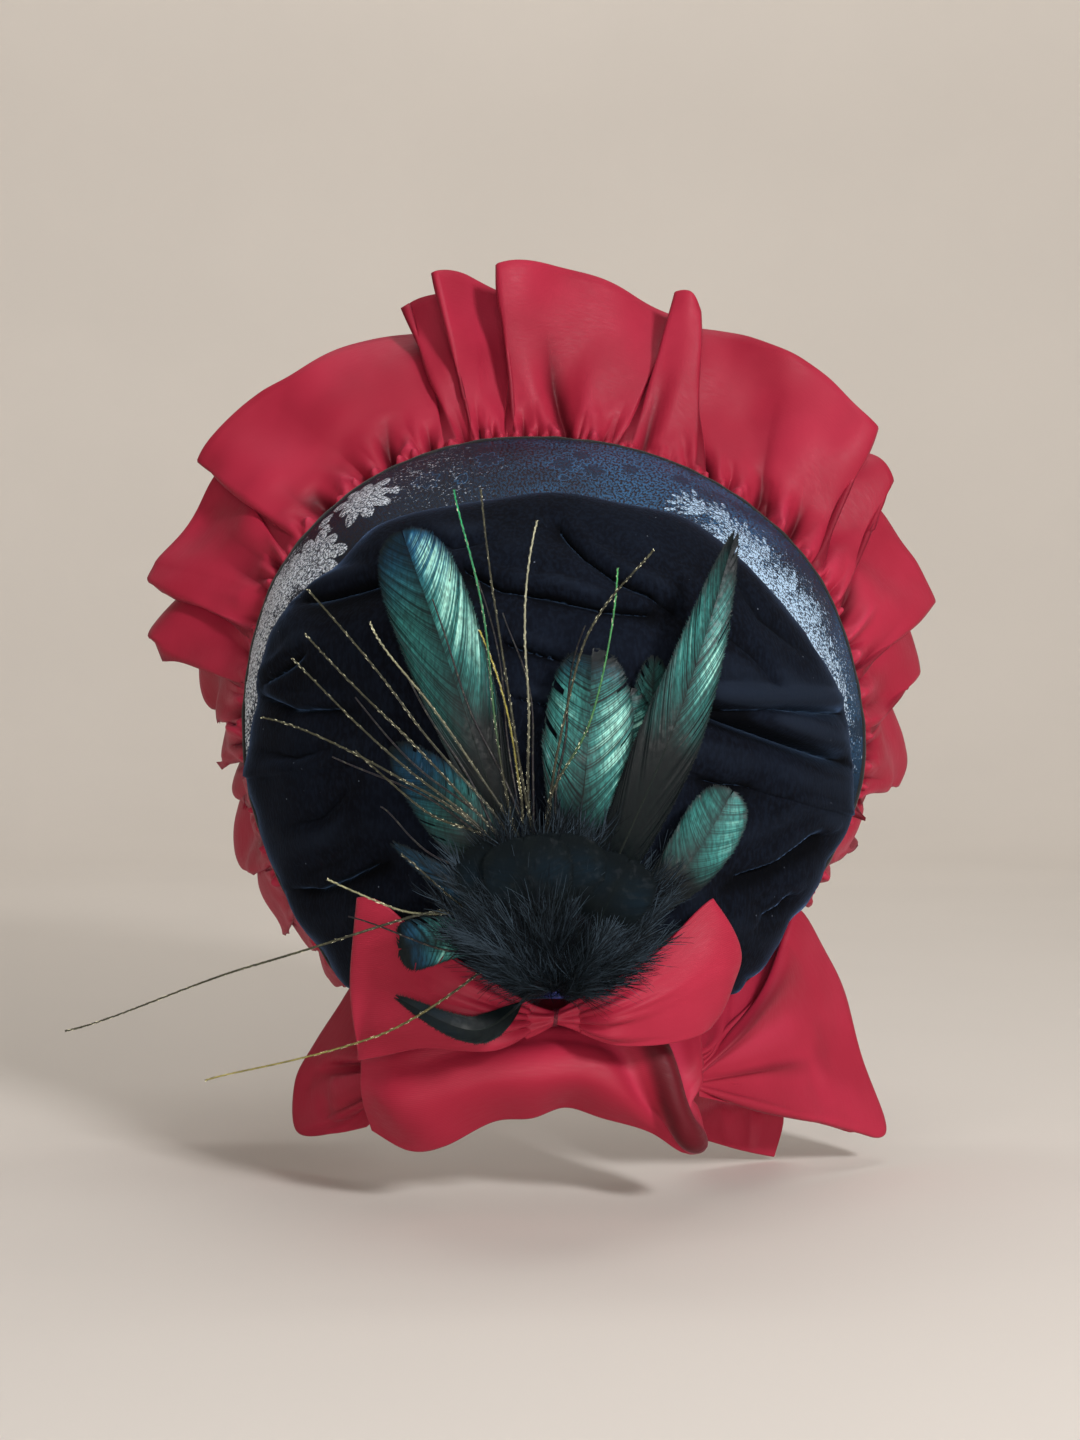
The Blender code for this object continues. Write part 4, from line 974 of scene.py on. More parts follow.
def brim_grid(columns, rows):
    grid = np.zeros((columns, rows, 3))
    for i in range(columns):
        turn = BRIM_LEFT_TIP + (BRIM_RIGHT_TIP - BRIM_LEFT_TIP) * i / (columns - 1)
        seam = Vector(read_rows(SEAM, turn))
        edge = edge_at(turn)
        across = (edge - seam).normalized()
        radial = Vector((edge.x, 0.0, edge.z)).normalized()
        start = seam + across * (SEAM_GAP + SEAM_GAP_AT_CORNER * across.dot(radial))
        end = edge - across * BRIM_END_SETBACK
        width = (end - start).length
        for j in range(rows):
            share = j / (rows - 1)
            bulge = radial * width * 0.04 * math.sin(math.pi * share)
            grid[i, j] = start.lerp(end, share) + bulge
    return grid


def petals_of(kind, size):
    """The petals of a woven motif: middle along and across, heading, half length, half width."""
    petals = []
    if kind == "flower":
        for k in range(9):
            long = 0.30 + 0.07 * math.sin(k * 2.4)
            petals.append(((0.34 + long) * size, k * 40, long * size, 0.19 * size))
        for k in range(7):
            petals.append((0.36 * size, 20 + k * 51.4, 0.24 * size, 0.15 * size))
        petals.append((0.0, 0, 0.24 * size, 0.24 * size))
    elif kind == "leaf":
        petals.append((0.5 * size, 0, 0.5 * size, 0.13 * size))
        for k in range(4):
            petals.append((0.30 * size + 0.13 * size * k, 34 - 5 * k, 0.24 * size, 0.07 * size))
            petals.append((0.30 * size + 0.13 * size * k, 5 * k - 34, 0.24 * size, 0.07 * size))
    else:
        for k in range(6):
            reach = 0.95 - 0.08 * abs(k - 2.5)
            petals.append((0.45 * size * reach, -50 + 20 * k, 0.40 * size * reach, 0.060 * size))
        for k in range(5):
            petals.append((0.80 * size, -40 + 20 * k, 0.16 * size, 0.05 * size))
    return petals


def motif_field(turns, shares, grid, rows):
    """How far inside the nearest woven petal each place lies, in millimetres, and its silver."""
    inside = np.full(grid.shape[:2], -3.0)
    silver = np.zeros(grid.shape[:2])
    for kind, turn, share, size, heading, bright in rows:
        i = int(np.abs(turns - turn).argmin())
        j = int(np.abs(shares - share).argmin())
        middle = grid[i, j]
        upward = grid[i, min(j + 2, len(shares) - 1)] - grid[i, j - 2]
        upward /= np.linalg.norm(upward)
        near = np.linalg.norm(grid - middle, axis=2) < size * 2.4
        away = grid[near] - middle
        rise = away @ upward
        flat = upward * np.array([1.0, 0.0, 1.0])
        seen = np.linalg.norm(flat)
        flat /= seen
        level = np.array([flat[2], 0.0, -flat[0]])
        local = (away @ level)[:, None] * level + (rise * (seen * 0.5 + 0.32))[:, None] * flat
        local_x, local_z = local[:, 0], local[:, 2]
        best = inside[near]
        for reach, bearing, half_long, half_wide in petals_of(kind, size):
            angle = math.radians(heading + bearing)
            ray_x, ray_z = math.sin(angle), math.cos(angle)
            along = (local_x * ray_x + local_z * ray_z - reach) / half_long
            across = (local_x * ray_z - local_z * ray_x) / half_wide
            best = np.maximum(best, (1 - np.hypot(along, across)) * half_wide * 1.6)
        inside[near] = best
        silver[near] = np.maximum(silver[near], bright)
    return inside, silver


def silver_field(turns, shares):
    """How thickly the silver thread lies at each place of the brocade, and how blue it is."""
    rows = np.array([read_rows(SILVER_FIELD, turn) for turn in turns])
    low, middle, high, blue = rows[:, :1], rows[:, 1:2], rows[:, 2:3], rows[:, 3:]
    near = np.clip(shares * 2, 0, 1)[None, :]
    far = np.clip(shares * 2 - 1, 0, 1)[None, :]
    return low + (middle - low) * near + (high - middle) * far, blue + 0 * near


def make_brim(brocade, lining):
    columns, rows = BRIM_GRID
    grid = brim_grid(columns, rows)
    turns = np.linspace(BRIM_LEFT_TIP, BRIM_RIGHT_TIP, columns)
    shares = np.linspace(0, 1, rows)
    flowers, silver = motif_field(turns, shares, grid, MOTIFS)
    dark, _ = motif_field(turns, shares, grid, DARK_MOTIFS)
    raised = np.clip(flowers * 1.5, 0, 1) * 0.16
    grid = grid + normals_of(grid, False) * raised[..., None]
    lace, blue = silver_field(turns, shares)
    paints = {"woven": flowers, "silver": silver, "damask": dark, "lace": lace, "blue": blue}
    piece = sheet_piece("brim_brocade", grid, BRIM_WALL, (brocade, lining), ("brim",),
                        paints=paints)
    return piece


def make_binding(tape):
    """Bias tape wrapped round the bound edge, with its slit towards the crown."""
    columns, rows = BINDING_GRID
    turns = np.linspace(-180, 180, columns, endpoint=False)
    grid = np.zeros((columns, rows, 3))
    maker = random.Random(8)
    waves = [(maker.randint(20, 70), maker.uniform(0, 6.3)) for _ in range(5)]
    for i, turn in enumerate(turns):
        along = (edge_at(turn + 1) - edge_at(turn - 1)).normalized()
        side = outward_at(turn)
        side = (side - along * side.dot(along)).normalized()
        up = along.cross(side)
        ripple = sum(math.sin(math.radians(turn) * count + phase) for count, phase in waves)
        for j in range(rows):
            angle = math.radians(-158 + 316 * j / (rows - 1))
            radius = BINDING_RADIUS * (1 + 0.035 * ripple) - 0.1
            grid[i, j] = edge_at(turn) + (side * math.cos(angle) + up * math.sin(angle)) * radius
    piece = sheet_piece("bound_edge", grid, 0.45, (tape,), ("edge_binding",),
                        closed=True)
    return piece


def ruffle_grid(rows):
    """The ruffle's middle surface, and where its cloth lies open between the tucked folds."""
    way = np.array(ruffle_hem())
    places, open_cloth = [], []
    for index in range(len(way) - 1):
        start, end = way[index], way[index + 1]
        inside_pleat = index % 3 < 2
        before = way[index - 1] if index % 3 == 1 else start
        after = way[index + 2] if index % 3 == 0 else end
        hem = [np.array([math.sin(math.radians(v[1])) * v[2], v[3], math.cos(math.radians(v[1])) * v[2]])
               for v in (start, end)]
        steps = max(int(np.linalg.norm(hem[1] - hem[0]) / 0.95), 4)
        open_cloth += [1.0 if inside_pleat else 0.0] * steps
        for step in range(steps):
            share = step / steps
            if inside_pleat:
                places.append([hermite(before[c], start[c], end[c], after[c], share, (1, 1, 1))
                               for c in range(4)])
            else:
                places.append(list(start + (end - start) * share))
    places.append(list(way[-1]))
    places = np.array(places)
    kernel = np.exp(-np.linspace(-2.2, 2.2, 7) ** 2)
    kernel /= kernel.sum()
    open_cloth = np.convolve(np.pad(open_cloth + [1.0], 3, mode="edge"), kernel, mode="valid")
    for column in (1, 2, 3):
        padded = np.pad(places[:, column], 3, mode="edge")
        places[:, column] = np.convolve(padded, kernel, mode="valid")
    waves = np.arange(len(places))
    places[:, 2] += 0.7 * np.sin(waves * 0.083 + 1.0) + 0.35 * np.sin(waves * 0.19)
    places[:, 3] += 2.2 * np.sin(waves * 0.071) + 1.2 * np.sin(waves * 0.17 + 2.0)
    roots = places[:, 0]
    outward = np.array([outward_at(turn) for turn in roots])
    edge = np.array([edge_at(turn) for turn in roots])
    root = edge + outward * RUFFLE_SETOFF
    angle = np.radians(places[:, 1])
    hem = np.stack([np.sin(angle) * places[:, 2], places[:, 3], np.cos(angle) * places[:, 2]], axis=1)
    length = np.linalg.norm(hem - root, axis=1, keepdims=True)
    steer = root + outward * length * RUFFLE_FLARE
    shares = (np.linspace(0, 1, rows) ** 1.25)[None, :, None]
    rest = 1 - shares
    grid = (root[:, None] * rest ** 2 + steer[:, None] * 2 * rest * shares + hem[:, None] * shares ** 2)
    grid[..., 1] -= RUFFLE_LIFT * np.sin(np.pi * shares[..., 0]) * 0.5
    return grid, roots, shares[0, :, 0], open_cloth


def make_ruffle(satin):
    grid, roots, shares, open_cloth = ruffle_grid(RUFFLE_ROWS)
    maker = random.Random(21)
    fine = []
    for k in range(FINE_GATHERS):
        turn = -140 + 265 * (k + maker.uniform(0.1, 0.9)) / FINE_GATHERS
        fine.append((turn, maker.uniform(-2, 2), maker.uniform(0.16, 0.52),
                     maker.uniform(1.8, 3.8), maker.uniform(0.45, 0.8)))
    for k in range(SOFT_FOLDS):
        turn = -138 + 261 * (k + maker.uniform(0.1, 0.9)) / SOFT_FOLDS
        fine.append((turn, maker.uniform(-8, 8), maker.uniform(0.4, 0.95),
                     maker.uniform(2.5, 5.5), maker.uniform(1.2, 2.4)))
    drawn = [(turn, lean, reach, deep * CREASE_DEPTH, wide * 0.95)
             for turn, lean, reach, deep, wide in RUFFLE_CREASES]
    depth = crease_field(roots[:, None], shares[None, :], drawn + fine)
    tucked = (1 - open_cloth)[:, None] * np.clip(shares * 5, 0, 1)[None, :]
    depth *= 1 - tucked
    # Painted shade: the cloth tucked behind each pleat is given a deep fold value, so it is painted darker
    folds = fold_shade_paint(depth - 2.5 * tucked, 4.2)
    depth += crumple(grid, 13, 3.6, 44.0) * np.clip(shares * 1.5, 0, 1)[None, :] * (1 - tucked)
    depth += crumple(grid, 14, 0.35, 20.0) * np.clip(shares * 2.0, 0, 1)[None, :] * (1 - tucked)
    normals = normals_of(grid, False)
    facing = np.where(normals[..., 1:2] > 0, -1.0, 1.0)
    normals = normals * facing
    grid = grid + normals * depth[..., None]
    piece = sheet_piece("ruffle_satin", grid, SATIN_WALL, (satin,), ("ruffle",), paints=folds)
    return piece


def sections_grid(sections, columns, rows, creases, amount=0.5, seed=3, size=34.0):
    """A ribbon's middle surface through its sections, with creases and soft unevenness."""
    grid = np.zeros((columns, rows, 3))
    for i in range(columns):
        share = i / (columns - 1)
        across = [smooth_path([section[k] for section in sections], share)
                  for k in range(len(sections[0]))]
        for j in range(rows):
            grid[i, j] = smooth_path(across, j / (rows - 1))
    folds = ribbon_field(columns, rows, creases)
    depth = folds + crumple(grid, seed, amount, size)
    return grid + normals_of(grid, False) * depth[..., None], fold_shade_paint(folds, RIBBON_FOLD)


def make_ribbons(satin):
    ribbons = (
        ("nape_curtain_satin", "curtain", CURTAIN_SECTIONS, CURTAIN_CREASES, CURTAIN_GRID),
        ("bow_loop_left_satin", "bow_loop_left", LOOP_LEFT_SECTIONS, LOOP_CREASES, LOOP_GRID),
        ("bow_loop_right_satin", "bow_loop_right", LOOP_RIGHT_SECTIONS, LOOP_CREASES, LOOP_GRID),
        ("tie_tail_satin", "tie_tail", TIE_TAIL_SECTIONS, TAIL_CREASES, TAIL_GRID),
    )
    for index, (name, node, sections, creases, (columns, rows)) in enumerate(ribbons):
        if node == "curtain":
            sections = [((x, y, z + CURTAIN_ROOT_RISE), *rest) for (x, y, z), *rest in sections]
        grid, folds = sections_grid(sections, columns, rows, creases, seed=30 + index)
        piece = sheet_piece(name, grid, RIBBON_WALL, (satin,), (node,), paints=folds)


def tie_grid(pinch, seats, rim, tuck):
    """A tie's middle surface, fanned from its pinched end to its rim."""
    columns, rows = TIE_GRID
    places = [(*tuck, 0.0, 0.0)] if tuck else []
    for turn in seats:
        places.append((*tie_seat(turn), 0.0, TIE_CLEARANCE if places else 0.0))
    places += [(*row, 0.0) for row in rim]
    count = len(places)
    by_place = [(k, *row) for k, row in enumerate(places)]
    grid = np.zeros((columns, rows, 3))
    for i in range(columns):
        share = i / (columns - 1)
        x, y, z, belly, spread = read_rows(by_place, share * (count - 1))
        radial = Vector((x, 0.0, z)).normalized()
        foot = pinch + Vector((-math.copysign(PINCH_SHIFT, pinch.x), 0.0, 0.0))
        foot.z += PINCH_STEP * (0.5 - share) * (count - 1)
        for j in range(rows):
            out = 1 - j / (rows - 1)
            swell = math.sin(math.pi * out)
            point = foot.lerp(Vector((x, y, z)), out)
            grid[i, j] = point + Vector((0.0, belly * swell, 0.0)) + radial * spread * swell
    folds = ribbon_field(columns, rows, TIE_CREASES)
    depth = folds + crumple(grid, 17, 0.5, 40.0)
    return grid + normals_of(grid, False) * depth[..., None], fold_shade_paint(folds, RIBBON_FOLD)


def make_ties(satin):
    ties = (
        ("tie_left_satin", "tie_left", TIE_LEFT_PINCH, TIE_LEFT_SEATS, TIE_LEFT_RIM, None),
        ("tie_right_satin", "tie_right", TIE_RIGHT_PINCH, TIE_RIGHT_SEATS, TIE_RIGHT_RIM,
         TIE_RIGHT_TUCK),
    )
    for name, node, pinch, seats, rim, tuck in ties:
        grid, folds = tie_grid(pinch, seats, rim, tuck)
        piece = sheet_piece(name, grid, RIBBON_WALL, (satin,), (node,), paints=folds)


def path_frames(points, steps):
    """Evenly spaced places on a smooth path, with the way along it, its side and its back."""
    frames = []
    for i in range(steps):
        share = i / (steps - 1)
        ahead = smooth_path(points, min(share + 0.01, 1.0))
        behind = smooth_path(points, max(share - 0.01, 0.0))
        along = (ahead - behind).normalized()
        side = along.cross(Vector((0.0, 1.0, 0.0))).normalized()
        frames.append([smooth_path(points, share), side, side.cross(along).normalized()])
    return [np.array([frame[k] for frame in frames]) for k in range(3)]


def at_share(values, share):
    """The value of a list of places at a share of its length."""
    place = min(max(share, 0.0), 1.0) * (len(values) - 1)
    low = min(int(place), len(values) - 2)
    return values[low] + (values[low + 1] - values[low]) * (place - low)


def mixed(first, second, share):
    share = min(max(share, 0.0), 1.0)
    return tuple(a + (b - a) * share for a, b in zip(first, second))


def paint_piece(piece, colours):
    """Give each vertex of a piece its colour."""
    layer = piece.data.color_attributes.new("tint", "FLOAT_COLOR", "POINT")
    flat = np.ones((len(colours), 4), dtype=np.float32)
    flat[:, :3] = colours
    layer.data.foreach_set("color", flat.ravel())


def feather_colour(glow, blue_from, along, out, streak):
    """A vane's colour at a place: dark, with a painted glow that turns from green to blue, and a pale
    highlight painted where the glow is strongest.
    """
    start, end, strength = glow
    rise = min(max((along - start) / 0.20, 0.0), 1.0)
    fall = min(max((end - along) / 0.20, 0.0), 1.0)
    body = 0.10 + 0.90 * math.sin(math.pi * min(out * 0.75 + 0.06, 1.0))
    lit = strength * rise * fall * body * streak
    shine = mixed(FEATHER_GREEN, FEATHER_BLUE, (along - blue_from) / 0.16)
    shine = mixed(shine, FEATHER_PALE_HIGHLIGHT, (lit - 0.60) * 1.9)
    return mixed(FEATHER_DARK, shine, lit)


def streaks_of(count, streaky, ragged, maker):
    """How strongly each barb of a vane shines: slow bands with finer lines in them."""
    slow = [maker.uniform(0, 6.3) for _ in range(3)]
    streaks, splits, split = [], [], 0.0
    for k in range(count):
        bands = sum(math.sin(k * rate + phase) for rate, phase in zip((0.11, 0.27, 0.53), slow)) / 3
        fine = maker.random() ** 1.6
        streaks.append(1.1 - streaky * min(max(0.30 - 0.28 * bands + 0.80 * fine, 0.0), 1.05))
        if maker.random() < 0.030 * ragged:
            split = maker.uniform(-0.030, 0.012)
        elif maker.random() < 0.05:
            split = 0.0
        splits.append(split)
    return streaks, splits


def ring_faces(rings, sides):
    """Faces that join each ring of points to the next."""
    faces = []
    for i in range(rings - 1):
        for k in range(sides):
            a, b = i * sides + k, i * sides + (k + 1) % sides
            faces.append((a, b, b + sides, a + sides))
    return faces


def add_mesh(whole, more):
    """Join a mesh's vertices, faces and colours to those of a whole."""
    vertices, faces, colours = whole
    base = len(vertices)
    vertices.extend(more[0])
    faces.extend(tuple(base + index for index in face) for face in more[1])
    colours.extend(more[2])


def spine_between(places, behind, ahead):
    """The way along a path from one share of it to another, one unit long."""
    spine = at_share(places, ahead) - at_share(places, behind)
    return spine / max(np.linalg.norm(spine), 1e-9)


def feather_shaft(places, sides, backs):
    """The tapering shaft between a feather's vanes."""
    vertices, colours = [], []
    for i in range(0, SHAFT_END, 2):
        share = i / (FEATHER_STEPS - 1)
        thick = SHAFT_HALF * (0.80 - 0.74 * share)
        for k in range(SHAFT_SIDES):
            angle = 2 * math.pi * k / SHAFT_SIDES
            offset = sides[i] * math.cos(angle) * thick + backs[i] * math.sin(angle) * thick * 0.8
            vertices.append(places[i] + offset - backs[i] * 0.15)
            colours.append(mixed(SHAFT_FOOT, SHAFT_TIP, share * 2))
    return vertices, ring_faces(SHAFT_END // 2, SHAFT_SIDES), colours


def feather_meshes(name, foot, middle, tip, half, widest, tip_round, glows):
    """A feather's vertices, faces and colours: a shaft between two vanes of close-laid barbs."""
    maker = random.Random(name)
    left_glow, right_glow, blue_from, streaky, ragged = glows
    quill = LOW_VANES.get(name, QUILL_SHARE)
    lean = STEEP_BARBS.get(name, BARB_LEAN)
    places, sides, backs = path_frames((foot, middle, tip), FEATHER_STEPS)
    length = float(np.linalg.norm(np.diff(places, axis=0), axis=1).sum())
    vertices, faces, colours = [], [], []
    count = int(length * (1 - quill) / BARB_SPACING)
    for sign, glow in ((1, left_glow), (-1, right_glow)):
        streaks, splits = streaks_of(count, streaky, ragged, maker)
        first = len(vertices)
        for k in range(count):
            share = k / (count - 1)
            start = quill * 0.85 + (0.95 - quill * 0.85) * share
            end = quill + lean + (1 - lean - quill) * share ** 0.86
            end = min(end + splits[k], 1.0)
            reach = feather_half_width(end, half, widest, tip_round, quill)
            reach *= 1 + splits[k] * 1.2 + maker.uniform(-0.012, 0.012)
            ridge = 0.05 * (-1) ** k
            for step in range(BARB_STEPS + 2):
                out = min(step / BARB_STEPS, 1.0)
                along = start + (end - start) * out ** 1.25
                wide = reach * (1 - (1 - out) ** 1.2)
                centre = at_share(places, along) + at_share(sides, along) * sign * wide
                back = at_share(backs, along)
                droop = 0.11 * half * (wide / half) ** 2
                centre = centre + back * (droop - SHAFT_HALF * 0.45 * (1 - out) + ridge * out)
                if step > BARB_STEPS:
                    spine = spine_between(places, along - 0.02, along)
                    ahead = spine * 0.8 + at_share(sides, along) * sign * 0.6
                    centre = centre + ahead * BARB_TIP * maker.uniform(0.2, 1.0)
                vertices.append(centre)
                shade = feather_colour(glow, blue_from, along, out, streaks[k])
                edge = max(out - 0.80, 0.0) * 3.0
                colours.append(mixed(shade, FEATHER_DARK, edge + 0.25 * (k % 2)))
        width = BARB_STEPS + 2
        for k in range(count - 1):
            for step in range(BARB_STEPS):
                a, b = first + k * width + step, first + (k + 1) * width + step
                if abs(splits[k] - splits[k + 1]) < 1e-6 or step < BARB_STEPS * 0.6:
                    faces.append((a, a + 1, b + 1, b))
            a, b = first + k * width + BARB_STEPS, first + (k + 1) * width + BARB_STEPS
            faces.append((a, a + 1, b))
    add_mesh((vertices, faces, colours), feather_shaft(places, sides, backs))
    return vertices, faces, colours


def make_feathers(vane):
    for row in FEATHERS + SIDE_FEATHERS:
        vertices, faces, colours = feather_meshes(*row, FEATHER_GLOWS[row[0]])
        piece = add_piece(row[0] + "_barbs", vertices, faces, (vane,), (row[0],))
        paint_piece(piece, colours)


def herl_way(index, points):
    """A strand's smooth path from the spray's head, with a slight wave in it."""
    lean = Vector((0.6 * math.sin(index * 2.1), 0.0, 0.6 * math.cos(index * 1.7)))
    places, sides, backs = path_frames([HERL_HEAD + lean] + [Vector(point) for point in points], 120)
    shares = np.linspace(0, 1, len(places))
    wave = np.sin(shares * (4.5 + index % 3) + index * 1.3) * 2.1 + np.sin(shares * 15 + index) * 0.4
    return places + sides * (wave * np.minimum(shares * 3, 1))[:, None], sides, backs


def strand_tube(way, thick, colour_at, rounds=64, edges=4):
    """A thin tapering strand: its vertices, faces and colours."""
    places, sides, backs = way
    vertices, colours = [], []
    for i in range(rounds):
        share = i / (rounds - 1)
        centre, side, back = at_share(places, share), at_share(sides, share), at_share(backs, share)
        for k in range(edges):
            angle = 2 * math.pi * k / edges
            ring = side * math.cos(angle) + back * math.sin(angle)
            vertices.append(centre + ring * thick * (1 - 0.62 * share))
            colours.append(colour_at(share))
    return vertices, ring_faces(rounds, edges), colours


def make_herls(strand_look):
    """Every long herl as a thin stem with short barbules, and bare stems between them."""
    maker = random.Random(6)
    whole = vertices, faces, colours = [], [], []

    for index, (name, *points) in enumerate(HERLS):
        way = herl_way(index, points)
        places, sides, backs = way
        length = float(np.linalg.norm(np.diff(places, axis=0), axis=1).sum())
        tip_colour = HERL_TIPS.get(name, HERL_OLIVE)

        def ground(share, tip_colour=tip_colour):
            return mixed(mixed(HERL_DARK, HERL_OLIVE, share * 1.5), tip_colour, share * 2.0 - 0.9)

        add_mesh(whole, strand_tube(way, HERL_HALF * 0.85, ground))
        count = int(length / HERL_STEP)
        clump = 0.0
        for k in range(count):
            share = 0.06 + 0.94 * k / count
            centre = at_share(places, share)
            spine = spine_between(places, share - 0.01, share + 0.01)
            if maker.random() < 0.24:
                clump = maker.random()
            # Painted light and shade alternating round each herl's twist, with bright glints painted where a
            # clump is lit
            twist = 0.5 + 0.5 * math.sin(k * HERL_STEP * HERL_TWIST + index)
            for turn in (1, -1):
                lit = twist if turn > 0 else 1 - twist
                shade = mixed(ground(share), HERL_DARK, 1.3 - 1.6 * lit)
                shade = mixed(shade, HERL_GLINT, (lit * clump - 0.44) * 8.0 * min(share * 1.8, 1.0))
                reach = HERL_BARBULE * maker.uniform(0.75, 1.15) * (1.1 - 0.40 * share)
                side = at_share(sides, share) * turn
                back = at_share(backs, share) * maker.uniform(-0.6, 0.4)
                tip = centre + spine * reach * 0.85 + (side + back) * reach * 0.62
                here = len(vertices)
                vertices += [centre - spine * 0.26, centre + spine * 0.26, tip]
                faces.append((here, here + 1, here + 2))
                colours += [shade, shade, mixed(shade, HERL_OLIVE, 0.2)]
    for index, points in enumerate(HERL_STEMS):
        add_mesh(whole, strand_tube(herl_way(index + 40, points), 0.52, lambda share: HERL_STEM, 40, 4))
    piece = add_piece("herl_strands", vertices, faces, (strand_look,), ("herl_spray",))
    paint_piece(piece, colours)


def down_reach(turn):
    """How far the down spreads at a turn, between its locks."""
    rows = list(DOWN_LOCKS)
    rows = [(rows[-1][0] - 360, *rows[-1][1:])] + rows + [(rows[0][0] + 360, *rows[0][1:])]
    return read_rows(rows, turn if turn >= rows[0][0] else turn + 360)


def down_plume(turn, spread, lift, maker):
    """One plume: fine curved fibres that branch off a hidden rib."""
    reach, rise = down_reach(turn)
    reach *= spread
    angle = math.radians(turn)
    ray = np.array([math.sin(angle), 0.0, math.cos(angle)])
    foot, centre = np.array(DOWN_FOOT), np.array(DOWN_CENTRE)
    behind = DOWN_SETBACK * math.exp(-((turn - DOWN_SETBACK_TURN) / 26.0) ** 2)
    tip = centre + ray * reach + np.array([0.0, rise * 0.5 - lift + behind, 0.0])
    sway = np.array([ray[2], 0.0, -ray[0]]) * maker.uniform(-4.0, 4.0)
    middle = (foot + tip) / 2 + sway + np.array([0.0, behind * 0.8 - 5.0 - lift - 0.10 * reach, 0.0])
    places, sides, backs = path_frames((foot, middle, tip), 30)
    vertices, faces, colours = [], [], []
    # Painted sheen: some plumes, and some fibres in them, are painted towards the lit tone
    shade = mixed(DOWN_BLACK, DOWN_LIT, maker.random() ** 4 * 0.7)
    for k in range(PLUME_FIBRES):
        share = 0.16 + 0.84 * k / PLUME_FIBRES
        spine = spine_between(places, share - 0.02, share + 0.02)
        side = at_share(sides, share) * (1 if k % 2 else -1)
        back = at_share(backs, share)
        lean = math.radians(abs(maker.gauss(17, 9)))
        curl = math.radians(maker.gauss(-10, 18))
        long = maker.uniform(10.0, 20.0) * (1.05 - 0.55 * share)
        thin = maker.uniform(0.08, 0.16)
        bow = maker.uniform(-0.5, 0.5)
        steps = 4
        here = len(vertices)
        point = at_share(places, share)
        tone = mixed(shade, DOWN_LIT, maker.random() ** 4)
        for step in range(steps + 1):
            out = step / steps
            bearing = lean + curl * out
            ahead = spine * math.cos(bearing) + side * math.sin(bearing) + back * bow * out
            across = side * math.cos(bearing) - spine * math.sin(bearing)
            wide = thin * (1 - 0.7 * out)
            vertices += [point - across * wide, point + across * wide]
            colours += [tone, tone]
            point = point + ahead * long / steps
        for step in range(steps):
            a = here + step * 2
            faces.append((a, a + 1, a + 3, a + 2))
    return vertices, faces, colours


def make_down(fluff):
    """Soft down: a dark heart, plumes that fan from the feathers' feet, and smooth hackles."""
    maker = random.Random(DOWN_SEED)
    centre = np.array(DOWN_CENTRE)
    whole = vertices, faces, colours = [], [], []

    rounds, segments = 10, 36
    heart = []
    for i in range(rounds + 1):
        share = i / rounds
        for k in range(segments):
            turn = -100 + 360 * k / segments
            angle = math.radians(turn)
            reach = down_reach(turn if turn < 245 else turn - 360)[0]
            wide = reach * 0.50 * math.sin(math.pi * share)
            deep = 4.0 * math.cos(math.pi * share)
            heart.append(centre + np.array([math.sin(angle) * wide, 4.0 - deep, math.cos(angle) * wide]))
    quads = ring_faces(rounds + 1, segments)
    add_mesh(whole, (heart, quads, [DOWN_BLACK] * len(heart)))
    for k in range(DOWN_PLUMES):
        turn = -104 + 350 * (k * 0.618 % 1.0)
        add_mesh(whole, down_plume(turn, maker.uniform(0.62, 1.02), maker.uniform(-2.0, 4.0), maker))
    for k in range(DOWN_WISPS):
        turn = maker.uniform(-100, 110)
        add_mesh(whole, down_plume(turn, maker.uniform(0.22, 0.84), maker.uniform(3.0, 6.8), maker))
    for row in DOWN_HACKLES:
        add_mesh(whole, feather_meshes(*row, DOWN_GLOW))
    piece = add_piece("marabou_fibres", vertices, faces, (fluff,), ("marabou_tuft",))
    paint_piece(piece, colours)


def tube(places, radius_at, sides, loops=False):
    """Vertices and faces of a tube along a line of places."""
    places = np.array(places, dtype=float)
    vertices, faces = [], []
    ahead = np.roll(places, -1, 0) if loops else np.concatenate([places[1:], places[-1:]])
    behind = np.roll(places, 1, 0) if loops else np.concatenate([places[:1], places[:-1]])
    for i, place in enumerate(places):
        along = ahead[i] - behind[i]
        along /= max(np.linalg.norm(along), 1e-9)
        helper = np.array([0.0, 0.0, 1.0]) if abs(along[2]) < 0.8 else np.array([1.0, 0.0, 0.0])
        side = np.cross(along, helper)
        side /= np.linalg.norm(side)
        up = np.cross(side, along)
        for k in range(sides):
            angle = 2 * math.pi * k / sides
            vertices.append(place + (side * math.cos(angle) + up * math.sin(angle)) * radius_at(i))
    for i in range(len(places) if loops else len(places) - 1):
        n = (i + 1) % len(places)
        for k in range(sides):
            m = (k + 1) % sides
            faces.append((i * sides + k, i * sides + m, n * sides + m, n * sides + k))
    if not loops:
        last = (len(places) - 1) * sides
        faces.append(tuple(reversed(range(sides))))
        faces.append(tuple(last + k for k in range(sides)))
    return vertices, faces


